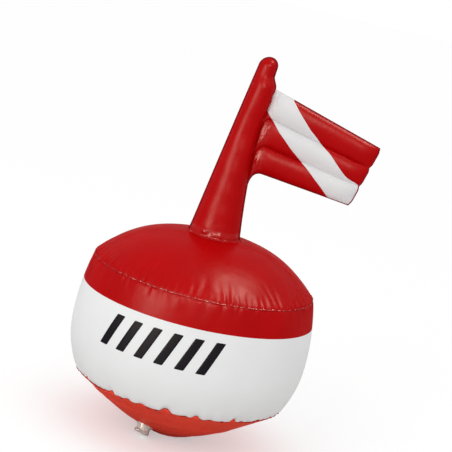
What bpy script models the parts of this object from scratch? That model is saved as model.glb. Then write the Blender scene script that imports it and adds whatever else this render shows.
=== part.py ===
"""Inflatable dive buoy: a round three-panel ball with a tapered mast and a quilted flag.

Metres, +Z up along the ball's axis. The origin is the centre of the flat foot, under the
ballast pocket. The flag lies in the XZ plane and flies towards +X. The valve sits low on the
front, at -X and -Y, and the line tab low at the back, at +Y.
"""

import math

import bmesh
import bpy
from mathutils import Matrix, Vector

# Film and clearances
FILM = 0.0005  # wall of the PVC film
GAP = 0.0003  # clearance between pieces that lie against each other
CUT_REACH = 0.006  # of a hole's cutter to each side of its film
WELD_RIM = 0.004  # width of the weld rims that are turned into the ball
EDGE_LIP = 0.0015  # width of the weld lip round the mast and the flag

# Ball, heights counted from its equator
BALL_RADIUS = 0.150
UPPER_SEAM_RADIUS = 0.140
UPPER_SEAM_HEIGHT = 0.0768
COLOUR_LINE_HEIGHT = 0.0438
LOWER_SEAM_RADIUS = 0.1350
LOWER_SEAM_DEPTH = 0.0670
DOME_RISE = 0.0526  # from the upper seam to the dome's top
DOME_POWER = 2.79  # 2 is a parabola, more is flatter on top
BOWL_DROP = 0.0697  # from the lower seam to the bowl's lowest point, before the pocket
BOWL_POWER = 1.5  # under 2 is pointed
UPPER_BAND_POWER = 2.2
LOWER_BAND_POWER = 2.36

# Pleats that the gathered seams throw
PLEATS = 30
PLEAT_DEPTH = 0.0016
DOME_PLEAT_LENGTH = 0.034
SHOULDER_PLEAT_LENGTH = 0.016
BOWL_PLEAT_LENGTH = 0.020

# Mast, heights counted from the dome's top
MAST_HEIGHT = 0.2285
MAST_BASE_RADIUS = 0.0312
MAST_MIDDLE_RADIUS = 0.0180
MAST_TOP_RADIUS = 0.0104
MAST_MIDDLE_HEIGHT = 0.110  # where the middle radius and lean are given
MAST_MIDDLE_LEAN = 0.0054  # offset of the centre line towards the flag
MAST_TOP_LEAN = 0.0166
MAST_BASE_LIP = 0.003  # weld lip that lies on the dome
MAST_HOLE_MARGIN = 0.001  # of the dome's hole inside the mast's base
CORNER_PULL = 0.0060  # how far the flag's top corner draws out the mast's edge
CORNER_PULL_BELOW = 0.060
CORNER_PULL_ABOVE = 0.016

# Flag: its hoist runs down the mast's edge
FLAG_BELOW_TIP = 0.0365  # from the mast's tip to the flag's top corner
FLAG_HOIST = 0.1215  # along the mast, with the fillet
FLAG_TOP_LENGTH = 0.1490
FLAG_TOP_DROOP = math.radians(16.0)
FLAG_BOTTOM_LENGTH = 0.1155  # from the fillet to the fly
FLAG_BOTTOM_DROOP = math.radians(6.5)
FLAG_FILLET_WIDTH = 0.0145
FLAG_FILLET_HEIGHT = 0.0182
FLAG_CHANNELS = 3
CHANNEL_FULLNESS = 0.42  # swell of a channel on each side, over its half width
CHANNEL_END = 0.022  # length over which a channel closes at the hoist and the fly
FLY_NOTCH = 0.0016  # how far the fly is drawn in at a crease

# White stripe across the flag
STRIPE_FILM = 0.0003
STRIPE_TOP_START = 0.0262  # along the flag's top, from the hoist
STRIPE_HOIST_DROP = 0.0263  # down the hoist
STRIPE_BOTTOM_END = 0.0310  # along the flag's bottom, from the fly
STRIPE_FLY_RISE = 0.0200  # up the fly

# Ballast in its pocket under the ball
POCKET_FOOT_RADIUS = 0.0262
POCKET_WELD_INNER = 0.0310
POCKET_WELD_WIDTH = 0.0070
FOOT_DROP = 0.0033  # of the foot below the bowl at the pocket's weld
FOOT_ROUND_WIDTH = 0.0016  # of the bevel round the foot
FOOT_ROUND_HEIGHT = 0.0007
RECESS_MARGIN = 0.001  # of the bowl's recess outside the weld's inner edge
RECESS_SLOPE_WIDTH = 0.004
WEIGHT_RADIUS = 0.0248
WEIGHT_THICKNESS = 0.0060
WEIGHT_CHAMFER = 0.0012

# Line tab and its eyelet
TAB_WIDTH = 0.024
TAB_THICKNESS = 0.0008
TAB_REACH = 0.064  # from the ball's axis to the tab's round end
TAB_WELD_MARGIN = 0.0005  # of the tab's ends beyond the edges of the pocket's weld
EYELET_BORE = 0.004  # radius
EYELET_WALL = 0.0007
EYELET_COLLAR = 0.0030  # width of the eyelet's collar and of the washer
EYELET_SHEET = 0.0007  # thickness of the collar and of the washer

# Inflation valve
VALVE_X = -0.029
VALVE_Y = -0.050
STEM_RADIUS = 0.0090
STEM_BORE = 0.0068
STEM_STAND = 0.0084  # of the stem's outer end above the film
STEM_LIP = 0.0010
STEM_LIP_HEIGHT = 0.0015
STEM_BEAD_HEIGHT = 0.0017
RUNNING_GAP = 0.0003
COLLAR_WALL = 0.0017
COLLAR_DEPTH = 0.0070  # inside the film
COLLAR_STAND = 0.0008  # outside the film
VALVE_FLANGE_RADIUS = 0.0165
VALVE_FLANGE_THICKNESS = 0.0010
PLUG_RADIUS = 0.0096
PLUG_THICKNESS = 0.0016
PLUG_CHAMFER = 0.0004
PLUG_PEG_ROOT = 0.0064
PLUG_PEG_TIP = 0.0058
PLUG_PEG_LENGTH = 0.0040
HINGE_OFFSET = 0.0112
HINGE_BARREL = 0.0009
HINGE_WIDTH = 0.0060
STRAP_THICKNESS = 0.0011
STRAP_RAISE = 0.0002  # of the strap's underside over the disc's
STRAP_OVERLAP = 0.002  # of the strap into the disc
FLAP_RADIUS = 0.0080
FLAP_THICKNESS = 0.0006

# Facets
SEGMENTS = 2 * PLEATS
ROUND = 32  # round the valve, the eyelet and the weight
MAST_FACETS = 8  # across one half of the mast
CHANNEL_FACETS = 4  # across one channel of the flag

# Colours, linear
RED = (0.45, 0.010, 0.014)
BOTTOM_RED = (0.50, 0.045, 0.028)
WHITE = (0.76, 0.76, 0.75)
CLEAR = (0.78, 0.76, 0.70)
LEAD = (0.22, 0.23, 0.25)
BRASS = (0.62, 0.45, 0.20)


def bowl_height(radius):
    """Height of the bowl's outside over the equator, before the pocket."""
    share = (radius / LOWER_SEAM_RADIUS) ** BOWL_POWER
    return -LOWER_SEAM_DEPTH - BOWL_DROP * (1 - share)


EQUATOR = FOOT_DROP - bowl_height(POCKET_WELD_INNER)
DOME_TOP = EQUATOR + UPPER_SEAM_HEIGHT + DOME_RISE
MAST_TIP = DOME_TOP + MAST_HEIGHT
FLAG_TOP = MAST_TIP - FLAG_BELOW_TIP
FLAG_BOTTOM = FLAG_TOP - FLAG_HOIST
RECESS_HEIGHT = FILM + 2 * GAP + WEIGHT_THICKNESS
RECESS_EDGE = POCKET_WELD_INNER + RECESS_MARGIN


def dome_height(radius):
    """Height of the dome's outside over the foot."""
    return DOME_TOP - DOME_RISE * (radius / UPPER_SEAM_RADIUS) ** DOME_POWER


def bowl(radius):
    """Height of the bowl's outside over the foot."""
    return EQUATOR + bowl_height(radius)


def bowl_slope(radius):
    share = (radius / LOWER_SEAM_RADIUS) ** (BOWL_POWER - 1)
    return BOWL_DROP * BOWL_POWER / LOWER_SEAM_RADIUS * share


def band_radius(height):
    """Radius of the side band at a height over the equator."""
    if height >= 0:
        share = (height / UPPER_SEAM_HEIGHT) ** UPPER_BAND_POWER
        return BALL_RADIUS - (BALL_RADIUS - UPPER_SEAM_RADIUS) * share
    share = (-height / LOWER_SEAM_DEPTH) ** LOWER_BAND_POWER
    return BALL_RADIUS - (BALL_RADIUS - LOWER_SEAM_RADIUS) * share


def clear_scene():
    for item in list(bpy.data.objects):
        bpy.data.objects.remove(item, do_unlink=True)


def material(name, colour, roughness, metallic=0.0, transmission=0.0):
    made = bpy.data.materials.new(name)
    made.use_nodes = True
    shader = made.node_tree.nodes["Principled BSDF"]
    shader.inputs["Base Color"].default_value = (*colour, 1.0)
    shader.inputs["Roughness"].default_value = roughness
    shader.inputs["Metallic"].default_value = metallic
    shader.inputs["Transmission Weight"].default_value = transmission
    made.diffuse_color = (*colour, 1.0)
    return made


def new_object(name, mesh, paint=None):
    """An object with its faces turned outwards by its own winding, shaded smooth."""
    data = bpy.data.meshes.new(name)
    mesh.to_mesh(data)
    mesh.free()
    data.shade_smooth()
    data.set_sharp_from_angle(angle=math.radians(35))
    made = bpy.data.objects.new(name, data)
    bpy.context.scene.collection.objects.link(made)
    if paint:
        data.materials.append(paint)
    return made


def helper(name, mesh):
    """A cutter or a piece to join on: not rendered, and so not a piece by itself."""
    made = new_object(name, mesh)
    made.hide_render = True
    made.display_type = "WIRE"
    return made


def thicken(made, thickness, outwards=False):
    """Gives an open surface the thickness of its film."""
    film = made.modifiers.new("Film", "SOLIDIFY")
    film.thickness = thickness
    film.offset = 1.0 if outwards else -1.0
    film.use_quality_normals = True


def boolean(made, other, operation):
    step = made.modifiers.new(operation.title(), "BOOLEAN")
    step.operation = operation
    step.solver = "EXACT"
    step.object = other


def revolve(profile, segments, closed=False):
    """Turns (radius, height) points about Z. Faces look out when the points run down the
    outside. A closed profile makes a ring; a radius of 0 makes a pole."""
    mesh = bmesh.new()
    rings = []
    for radius, height in profile:
        if radius == 0:
            rings.append([mesh.verts.new((0, 0, height))])
            continue
        turn = [2 * math.pi * k / segments for k in range(segments)]
        rings.append([mesh.verts.new((radius * math.cos(a), radius * math.sin(a), height)) for a in turn])
    join_rings(mesh, rings, closed)
    return mesh


def join_rings(mesh, rings, closed=False):
    pairs = list(zip(rings, rings[1:]))
    if closed:
        pairs.append((rings[-1], rings[0]))
    for upper, lower in pairs:
        count = max(len(upper), len(lower))
        for k in range(count):
            after = (k + 1) % count
            if len(upper) == 1:
                mesh.faces.new((upper[0], lower[k], lower[after]))
            elif len(lower) == 1:
                mesh.faces.new((upper[k], lower[0], upper[after]))
            else:
                mesh.faces.new((upper[k], lower[k], lower[after], upper[after]))


def cylinder(radius, low, high, segments=ROUND):
    return revolve([(0, high), (radius, high), (radius, low), (0, low)], segments)


def pleat_wave(segment):
    """-1 on a ridge to 1 in a valley, uneven round the ball as hand-welded seams are."""
    uneven = 0.8 + 0.2 * math.sin(2.3 * segment) * math.cos(0.7 * segment)
    return uneven if segment % 2 else -0.35 * uneven


def pleat_fade(distance, length):
    """Share of the full pleat depth at a distance from the seam."""
    if distance >= length:
        return 0.0
    share = distance / length
    return 0.35 + 0.65 * math.sin(math.pi * min(share * 3, 0.5)) if share < 1 / 6 else (1 - share) ** 0.8


def film_panel(name, profile, paint):
    """A panel of the ball. The profile has (radius, height, pleat share) down its outside,
    and pleats move its points along the profile's own normal."""
    mesh = bmesh.new()
    rings = []
    for index, (radius, height, share) in enumerate(profile):
        if radius == 0:
            rings.append([mesh.verts.new((0, 0, height))])
            continue
        before = profile[max(index - 1, 0)]
        after = profile[min(index + 1, len(profile) - 1)]
        run = Vector((after[0] - before[0], after[1] - before[1])).normalized()
        normal = Vector((-run.y, run.x))
        ring = []
        for k in range(SEGMENTS):
            turn = 2 * math.pi * k / SEGMENTS
            depth = PLEAT_DEPTH * share * pleat_wave(k)
            out = radius - depth * normal.x
            ring.append(mesh.verts.new((out * math.cos(turn), out * math.sin(turn), height - depth * normal.y)))
        rings.append(ring)
    join_rings(mesh, rings)
    made = new_object(name, mesh, paint)
    thicken(made, FILM)
    return made


def make_top_panel(paint):
    hole = MAST_BASE_RADIUS - 2 * FILM - GAP - MAST_HOLE_MARGIN
    seam = EQUATOR + UPPER_SEAM_HEIGHT + GAP / 2
    steps = (0.0, 0.24, 0.46, 0.64, 0.78, 0.88, 0.95)
    profile = []
    for step in steps:
        radius = hole + (UPPER_SEAM_RADIUS - hole) * step
        share = pleat_fade(UPPER_SEAM_RADIUS - radius, DOME_PLEAT_LENGTH)
        profile.append((radius, dome_height(radius), share))
    profile.append((UPPER_SEAM_RADIUS, seam, 0.0))
    profile.append((UPPER_SEAM_RADIUS - WELD_RIM, seam, 0.0))
    return film_panel("top_panel", profile, paint)


def band_profile(high, low, steps, upper_pleats=0.0, lower_pleats=0.0):
    """Side of the ball between two heights over the equator, with a turned-in rim at each."""
    top = high - GAP / 2
    base = low + GAP / 2
    profile = [(band_radius(high) - WELD_RIM, EQUATOR + top, 0.0)]
    for step in steps:
        height = top + (base - top) * step
        share = 0.0
        if 0 < step < 1 and upper_pleats:
            share += 0.7 * pleat_fade(top - height, upper_pleats)
        if 0 < step < 1 and lower_pleats:
            share += 0.8 * pleat_fade(height - base, lower_pleats)
        profile.append((band_radius(height), EQUATOR + height, share))
    profile.append((band_radius(low) - WELD_RIM, EQUATOR + base, 0.0))
    return profile


def make_shoulder_band(paint):
    steps = (0.0, 0.18, 0.5, 1.0)
    profile = band_profile(UPPER_SEAM_HEIGHT, COLOUR_LINE_HEIGHT, steps, upper_pleats=SHOULDER_PLEAT_LENGTH)
    return film_panel("shoulder_band", profile, paint)


def make_side_band(paint):
    steps = (0.0, 0.22, 0.44, 0.66, 0.84, 0.95, 1.0)
    profile = band_profile(COLOUR_LINE_HEIGHT, -LOWER_SEAM_DEPTH, steps, lower_pleats=BOWL_PLEAT_LENGTH)
    return film_panel("side_band", profile, paint)


def make_bottom_panel(paint, valve):
    """The bowl, drawn in at its centre over the weight, with the valve's hole."""
    seam = EQUATOR - LOWER_SEAM_DEPTH - GAP / 2
    profile = [(LOWER_SEAM_RADIUS - WELD_RIM, seam, 0.0), (LOWER_SEAM_RADIUS, seam, 0.0)]
    for step in (0.035, 0.09, 0.19, 0.34, 0.52, 0.72, 0.88, 1.0):
        radius = LOWER_SEAM_RADIUS + (RECESS_EDGE - LOWER_SEAM_RADIUS) * step
        share = pleat_fade(LOWER_SEAM_RADIUS - radius, BOWL_PLEAT_LENGTH)
        profile.append((radius, bowl(radius), share))
    profile.append((RECESS_EDGE - RECESS_SLOPE_WIDTH, RECESS_HEIGHT, 0.0))
    profile.append((0, RECESS_HEIGHT, 0.0))
    made = film_panel("bottom_panel", profile, paint)
    hole = STEM_RADIUS + RUNNING_GAP + COLLAR_WALL + GAP
    cutter = helper("valve_hole_cutter", cylinder(hole, -CUT_REACH, CUT_REACH))
    cutter.matrix_world = valve
    boolean(made, cutter, "DIFFERENCE")
    return made


def through_three(position, middle, low_value, middle_value, high_value):
    """The parabola through three values, at 0, middle and 1."""
    steep = (middle_value - low_value) / middle
    bend = ((high_value - low_value) - steep) / (1 - middle)
    return low_value + steep * position + bend * position * (position - middle)


def mast_section(height):
    """Centre line offset and half width of the mast at a height over the foot."""
    share = (height - DOME_TOP) / (MAST_HEIGHT - MAST_TOP_RADIUS)
    middle = MAST_MIDDLE_HEIGHT / (MAST_HEIGHT - MAST_TOP_RADIUS)
    centre = through_three(share, middle, 0.0, MAST_MIDDLE_LEAN, MAST_TOP_LEAN)
    width = through_three(share, middle, MAST_BASE_RADIUS, MAST_MIDDLE_RADIUS, MAST_TOP_RADIUS)
    cap = (height - (MAST_TIP - MAST_TOP_RADIUS)) / MAST_TOP_RADIUS
    if cap > 0:
        width = MAST_TOP_RADIUS * math.sqrt(max(0.0, 1 - cap * cap))
    reach = CORNER_PULL_ABOVE if height > FLAG_TOP else CORNER_PULL_BELOW
    pull = CORNER_PULL * max(0.0, 1 - ((height - FLAG_TOP) / reach) ** 2) ** 2
    return centre + pull / 2, width + pull / 2


def mast_edge(height):
    centre, width = mast_section(height)
    return Vector((centre + width, height))


def flag_corners():
    """Hoist top, fly top, fly bottom, fillet end and hoist bottom, as (x, z)."""
    hoist_top = mast_edge(FLAG_TOP)
    hoist_bottom = mast_edge(FLAG_BOTTOM)
    top_run = Vector((math.cos(FLAG_TOP_DROOP), -math.sin(FLAG_TOP_DROOP)))
    bottom_run = Vector((math.cos(FLAG_BOTTOM_DROOP), -math.sin(FLAG_BOTTOM_DROOP)))
    fly_top = hoist_top + FLAG_TOP_LENGTH * top_run
    fillet = hoist_bottom + Vector((FLAG_FILLET_WIDTH, FLAG_FILLET_HEIGHT))
    fly_bottom = fillet + FLAG_BOTTOM_LENGTH * bottom_run
    return hoist_top, fly_top, fly_bottom, fillet, hoist_bottom


def flag_point(along, up):
    """A point of the flag, along it from hoist to fly and up it from bottom to top."""
    hoist_top, fly_top, fly_bottom, fillet, hoist_bottom = flag_corners()
    top = hoist_top.lerp(fly_top, along)
    turn = (fillet.x - hoist_bottom.x) / (fly_bottom.x - hoist_bottom.x)
    if along < turn:
        bend = along / turn
        corner = Vector((hoist_bottom.x + 0.1 * FLAG_FILLET_WIDTH, fillet.y))
        bottom = hoist_bottom.lerp(corner, bend).lerp(corner.lerp(fillet, bend), bend)
    else:
        bottom = fillet.lerp(fly_bottom, (along - turn) / (1 - turn))
    hoist = mast_edge(FLAG_BOTTOM + FLAG_HOIST * up)
    crease = math.cos(math.pi * FLAG_CHANNELS * up) ** 2 if 0 < up < 1 else 0.0
    fly = fly_bottom.lerp(fly_top, up) - Vector((FLY_NOTCH * crease, 0))
    corners = hoist_bottom.lerp(hoist_top, up).lerp(fly_bottom.lerp(fly_top, up), along)
    return bottom.lerp(top, up) + hoist.lerp(fly, along) - corners


def flag_swell(along, up):
    """How far the flag's film stands out from its middle plane."""
    length = (flag_point(1, up) - flag_point(0, up)).length
    height = (flag_point(along, 1) - flag_point(along, 0)).length
    place = (FLAG_CHANNELS * up) % 1.0
    bulge = math.sqrt(max(0.0, 1 - (2 * place - 1) ** 2))
    ends = 1.0
    for distance in (along * length, (1 - along) * length):
        closing = min(distance / CHANNEL_END, 1.0)
        ends *= math.sqrt(1 - (1 - closing) ** 2)
    return CHANNEL_FULLNESS * height / (2 * FLAG_CHANNELS) * bulge * ends


FLAG_ROWS = FLAG_CHANNELS * CHANNEL_FACETS
FLAG_STATIONS = (0.0, 0.035, 0.085, 0.15, 0.29, 0.43, 0.57, 0.71, 0.85, 0.915, 0.965, 1.0)
LOWER_MAST_STEPS = (0.0, 0.12, 0.3, 0.52, 0.76)
UPPER_MAST_STEPS = (0.35, 0.7, 1.0)
TIP_STEPS = (0.4, 0.7, 0.9)


def mast_rows():
    """Heights of the mast's rows over the foot. The rows under the flag start on the dome,
    so they are given as (share of the way up to the flag, None)."""
    rows = [(step, None) for step in LOWER_MAST_STEPS]
    rows += [(None, FLAG_BOTTOM + FLAG_HOIST * k / FLAG_ROWS) for k in range(FLAG_ROWS + 1)]
    shoulder = MAST_TIP - MAST_TOP_RADIUS
    rows += [(None, FLAG_TOP + (shoulder - FLAG_TOP) * step) for step in UPPER_MAST_STEPS]
    rows += [(None, shoulder + MAST_TOP_RADIUS * step) for step in TIP_STEPS]
    return rows


def sheet_surface():
    """Outer face of the front sheet: half the mast and half the flag, cut in one piece, with
    its weld lips. It faces -Y."""
    mesh = bmesh.new()
    plane = GAP / 2 + FILM
    on_dome = GAP + FILM
    columns = []
    for share, height in mast_rows():
        row = []
        for k in range(MAST_FACETS + 1):
            turn = math.pi * k / MAST_FACETS
            level = height
            if level is None:
                centre, width = mast_section(DOME_TOP)
                foot = Vector((centre - width * math.cos(turn), width * math.sin(turn) + plane))
                base = dome_height(foot.length) + on_dome
                level = base + (FLAG_BOTTOM - base) * share
            centre, width = mast_section(level)
            row.append(mesh.verts.new((centre - width * math.cos(turn), -width * math.sin(turn) - plane, level)))
        columns.append(row)
    for lower, upper in zip(columns, columns[1:]):
        for k in range(MAST_FACETS):
            mesh.faces.new((lower[k], lower[k + 1], upper[k + 1], upper[k]))
    centre, _ = mast_section(MAST_TIP)
    tip = mesh.verts.new((centre, -plane, MAST_TIP))
    for k in range(MAST_FACETS):
        mesh.faces.new((columns[-1][k], columns[-1][k + 1], tip))

    first = len(LOWER_MAST_STEPS)
    grid = []
    for row in range(FLAG_ROWS + 1):
        up = row / FLAG_ROWS
        line = [columns[first + row][-1]]
        for along in FLAG_STATIONS[1:]:
            point = flag_point(along, up)
            line.append(mesh.verts.new((point.x, -plane - flag_swell(along, up), point.y)))
        grid.append(line)
    for lower, upper in zip(grid, grid[1:]):
        for k in range(len(FLAG_STATIONS) - 1):
            mesh.faces.new((lower[k], lower[k + 1], upper[k + 1], upper[k]))

    left = [row[0] for row in columns]
    above = [row[-1] for row in reversed(columns[first + FLAG_ROWS:])]
    below = [row[-1] for row in reversed(columns[:first])]
    fly = [line[-1] for line in reversed(grid[:-1])]
    outline = left + [tip] + above + grid[-1][1:] + fly + grid[0][-2::-1] + below
    add_side_lip(mesh, outline, columns[0])
    bmesh.ops.triangulate(mesh, faces=mesh.faces)
    return mesh


def add_side_lip(mesh, outline, base):
    """A flat lip round the outline, and one on the dome round the mast's base. The outline
    runs up the left edge, over the tip, round the flag and down the right edge."""
    lip = []
    for k, vertex in enumerate(outline):
        before = outline[max(k - 1, 0)].co
        after = outline[min(k + 1, len(outline) - 1)].co
        run = Vector((after.x - before.x, after.z - before.z)).normalized()
        out = vertex.co + EDGE_LIP * Vector((-run.y, 0, run.x))
        if k in (0, len(outline) - 1):
            out = on_the_dome(vertex.co)
        lip.append(mesh.verts.new(out))
    for k in range(len(outline) - 1):
        mesh.faces.new((outline[k], outline[k + 1], lip[k + 1], lip[k]))
    ring = [lip[0]] + [mesh.verts.new(on_the_dome(vertex.co)) for vertex in base[1:-1]] + [lip[-1]]
    for k in range(len(base) - 1):
        mesh.faces.new((base[k + 1], base[k], ring[k], ring[k + 1]))


def on_the_dome(point):
    """A point of the mast's base, moved outwards onto the dome by the width of its lip."""
    flat = Vector((point.x, 0 if abs(point.y) < FILM + GAP else point.y))
    moved = Vector((point.x, point.y)) + flat.normalized() * MAST_BASE_LIP
    return Vector((moved.x, moved.y, dome_height(moved.length) + GAP + FILM))


def mirror_to_back(mesh):
    for vertex in mesh.verts:
        vertex.co.y = -vertex.co.y
    bmesh.ops.reverse_faces(mesh, faces=mesh.faces)


def make_sheet(name, back, paint):
    mesh = sheet_surface()
    if back:
        mirror_to_back(mesh)
    made = new_object(name, mesh, paint)
    thicken(made, FILM)
    return made


def stripe_lines():
    """The stripe's cuts as (point, normal towards the stripe): above, below and at the hoist."""
    hoist_top, fly_top, fly_bottom, fillet, _ = flag_corners()
    top_run = (fly_top - hoist_top).normalized()
    bottom_run = (fillet - fly_bottom).normalized()
    fly_run = (fly_top - fly_bottom).normalized()
    upper = (hoist_top + STRIPE_TOP_START * top_run, fly_bottom + STRIPE_FLY_RISE * fly_run)
    hoist_low = mast_edge(FLAG_TOP - STRIPE_HOIST_DROP)
    lower = (hoist_low, fly_bottom + STRIPE_BOTTOM_END * bottom_run)
    cuts = []
    for (start, end), inside in ((upper, hoist_low), (lower, fly_top), ((hoist_low, hoist_top), fly_top)):
        run = (end - start).normalized()
        normal = Vector((-run.y, run.x))
        if normal.dot(inside - start) < 0:
            normal = -normal
        cuts.append((start, normal))
    start, normal = cuts[2]
    cuts[2] = (start + normal * (FILM + GAP), normal)
    return cuts


def make_stripe(name, back, paint):
    """A strip of white film that lies on the flag's outer face, from edge to edge."""
    mesh = sheet_surface()
    for point, normal in stripe_lines():
        everything = list(mesh.verts) + list(mesh.edges) + list(mesh.faces)
        bmesh.ops.bisect_plane(
            mesh,
            geom=everything,
            plane_co=(point.x, 0, point.y),
            plane_no=(normal.x, 0, normal.y),
            clear_inner=True,
        )
    loose = [vertex for vertex in mesh.verts if not vertex.link_faces]
    bmesh.ops.delete(mesh, geom=loose, context="VERTS")
    mesh.normal_update()
    lifted = [vertex.co + vertex.normal * GAP for vertex in mesh.verts]
    for vertex, place in zip(mesh.verts, lifted):
        vertex.co = place
    if back:
        mirror_to_back(mesh)
    made = new_object(name, mesh, paint)
    thicken(made, STRIPE_FILM, outwards=True)
    return made


def make_ballast_weight(paint):
    low = FILM + GAP
    high = low + WEIGHT_THICKNESS
    edge = WEIGHT_RADIUS - WEIGHT_CHAMFER
    profile = [
        (0, high),
        (edge, high),
        (WEIGHT_RADIUS, high - WEIGHT_CHAMFER),
        (WEIGHT_RADIUS, low + WEIGHT_CHAMFER),
        (edge, low),
        (0, low),
    ]
    return new_object("ballast_weight", revolve(profile, ROUND), paint)


def make_ballast_pocket(paint):
    """A round patch welded under the bowl. Its flat middle is the foot that the buoy stands on."""
    skin = FILM + GAP
    outer = POCKET_WELD_INNER + POCKET_WELD_WIDTH
    middle = POCKET_WELD_INNER + POCKET_WELD_WIDTH / 2
    profile = [
        (outer, bowl(outer) - skin),
        (middle, bowl(middle) - skin),
        (POCKET_WELD_INNER, bowl(POCKET_WELD_INNER) - skin),
        (POCKET_FOOT_RADIUS + FOOT_ROUND_WIDTH, FOOT_ROUND_HEIGHT),
        (POCKET_FOOT_RADIUS, 0.0),
        (0, 0.0),
    ]
    made = new_object("ballast_pocket", revolve(profile, ROUND), paint)
    thicken(made, FILM)
    return made


TAB_START = POCKET_WELD_INNER + TAB_WELD_MARGIN
TAB_BEND = POCKET_WELD_INNER + POCKET_WELD_WIDTH + TAB_WELD_MARGIN
TAB_TOP = bowl(TAB_BEND) - 2 * (FILM + GAP)
EYELET_Y = TAB_REACH - TAB_WIDTH / 2


def make_line_tab(paint):
    """A tongue of thick film welded on the pocket's rim. It leaves the ball level, at the back."""
    half = TAB_WIDTH / 2
    stations = [(TAB_START, half), ((TAB_START + TAB_BEND) / 2, half), (TAB_BEND, half), (EYELET_Y, half)]
    for k in range(1, 9):
        turn = math.pi / 2 * k / 9
        stations.append((EYELET_Y + half * math.sin(turn), half * math.cos(turn)))
    mesh = bmesh.new()
    rows = []
    for reach, width in stations:
        height = TAB_TOP
        if reach < TAB_BEND:
            height = bowl(reach) - 2 * (FILM + GAP)
        rows.append([mesh.verts.new((x, reach, height)) for x in (-width, 0, width)])
    for inner, outer in zip(rows, rows[1:]):
        for k in range(2):
            mesh.faces.new((inner[k], inner[k + 1], outer[k + 1], outer[k]))
    tip = mesh.verts.new((0, EYELET_Y + half, TAB_TOP))
    for k in range(2):
        mesh.faces.new((rows[-1][k], rows[-1][k + 1], tip))
    made = new_object("line_tab", mesh, paint)
    thicken(made, TAB_THICKNESS)
    hole = EYELET_BORE + EYELET_WALL + GAP
    cutter = helper("eyelet_hole_cutter", cylinder(hole, -CUT_REACH, CUT_REACH))
    cutter.location = (0, EYELET_Y, TAB_TOP)
    boolean(made, cutter, "DIFFERENCE")
    return made


def make_line_eyelet(paint):
    """A tube through the tab, with its collar below and its rolled end over the washer."""
    wall = EYELET_BORE + EYELET_WALL
    under = -TAB_THICKNESS - GAP
    over = GAP + EYELET_SHEET + GAP
    roll = EYELET_COLLAR / 2
    profile = [
        (EYELET_BORE, over + 0.6 * EYELET_SHEET),
        (wall, over + EYELET_SHEET),
        (wall + roll, over + 0.6 * EYELET_SHEET),
        (wall + roll, over),
        (wall, over),
        (wall, under),
        (wall + EYELET_COLLAR, under),
        (wall + EYELET_COLLAR, under - 0.6 * EYELET_SHEET),
        (wall, under - EYELET_SHEET),
        (EYELET_BORE, under - 0.6 * EYELET_SHEET),
    ]
    made = new_object("line_eyelet", revolve(profile, ROUND, closed=True), paint)
    made.location = (0, EYELET_Y, TAB_TOP)
    return made


def make_eyelet_washer(paint):
    inner = EYELET_BORE + EYELET_WALL + GAP
    outer = EYELET_BORE + EYELET_WALL + EYELET_COLLAR
    low = GAP
    high = GAP + EYELET_SHEET
    profile = [(inner, high), (outer, high), (outer, low), (inner, low)]
    made = new_object("eyelet_washer", revolve(profile, ROUND, closed=True), paint)
    made.location = (0, EYELET_Y, TAB_TOP)
    return made


def valve_frame():
    """Frame of the valve: origin on the bowl's outside, +Z out of the ball and +X down the
    bowl towards the foot."""
    radius = math.hypot(VALVE_X, VALVE_Y)
    slope = bowl_slope(radius)
    away = Vector((VALVE_X, VALVE_Y, 0)) / radius
    out = Vector((slope * away.x, slope * away.y, -1)).normalized()
    towards = Vector((-away.x, -away.y, -slope)).normalized()
    side = out.cross(towards)
    turn = Matrix((towards, side, out)).transposed().to_4x4()
    return Matrix.Translation((VALVE_X, VALVE_Y, bowl(radius))) @ turn


COLLAR_BORE = STEM_RADIUS + RUNNING_GAP
BEAD_TOP = -COLLAR_DEPTH - GAP
STEM_END = BEAD_TOP - STEM_BEAD_HEIGHT
BARREL_HEIGHT = STEM_STAND + GAP + HINGE_BARREL


def make_valve_flange(paint):
    """The valve's welded base: a dished ring inside the film, with the collar that guides the
    stem."""
    collar = COLLAR_BORE + COLLAR_WALL
    radius = math.hypot(VALVE_X, VALVE_Y)
    slope = bowl_slope(radius)
    round_bend = radius * math.sqrt(1 + slope * slope) / slope
    skin = FILM + 2 * GAP

    def under_film(out):
        return -skin - out * out / (2 * round_bend)

    hub = under_film(collar)
    rim = under_film(VALVE_FLANGE_RADIUS)
    profile = [
        (COLLAR_BORE, COLLAR_STAND),
        (collar, COLLAR_STAND),
        (collar, hub),
        (VALVE_FLANGE_RADIUS, rim),
        (VALVE_FLANGE_RADIUS, rim - VALVE_FLANGE_THICKNESS),
        (collar, hub - VALVE_FLANGE_THICKNESS),
        (collar, -COLLAR_DEPTH),
        (COLLAR_BORE, -COLLAR_DEPTH),
    ]
    return new_object("valve_flange", revolve(profile, ROUND, closed=True), paint)


def make_valve_stem(paint):
    """The tube that slides in the collar, with a lip outside, a bead inside that stops it from
    pulling out, and an ear under the plug's hinge."""
    lip = STEM_RADIUS + STEM_LIP
    profile = [
        (STEM_BORE, STEM_STAND),
        (lip, STEM_STAND),
        (lip, STEM_STAND - STEM_LIP_HEIGHT),
        (STEM_RADIUS, STEM_STAND - STEM_LIP_HEIGHT),
        (STEM_RADIUS, BEAD_TOP),
        (lip, BEAD_TOP),
        (lip, STEM_END),
        (STEM_BORE, STEM_END),
    ]
    made = new_object("valve_stem", revolve(profile, ROUND, closed=True), paint)
    reach = HINGE_OFFSET + HINGE_BARREL + GAP
    inner = (STEM_BORE + STEM_RADIUS) / 2
    outline = [
        (-reach, STEM_STAND - STEM_LIP_HEIGHT),
        (-inner, STEM_STAND - STEM_LIP_HEIGHT),
        (-inner, STEM_STAND),
        (-reach, STEM_STAND),
    ]
    ear = helper("stem_ear", extruded(outline, HINGE_WIDTH / 2 + GAP))
    boolean(made, ear, "UNION")
    return made, ear


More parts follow.
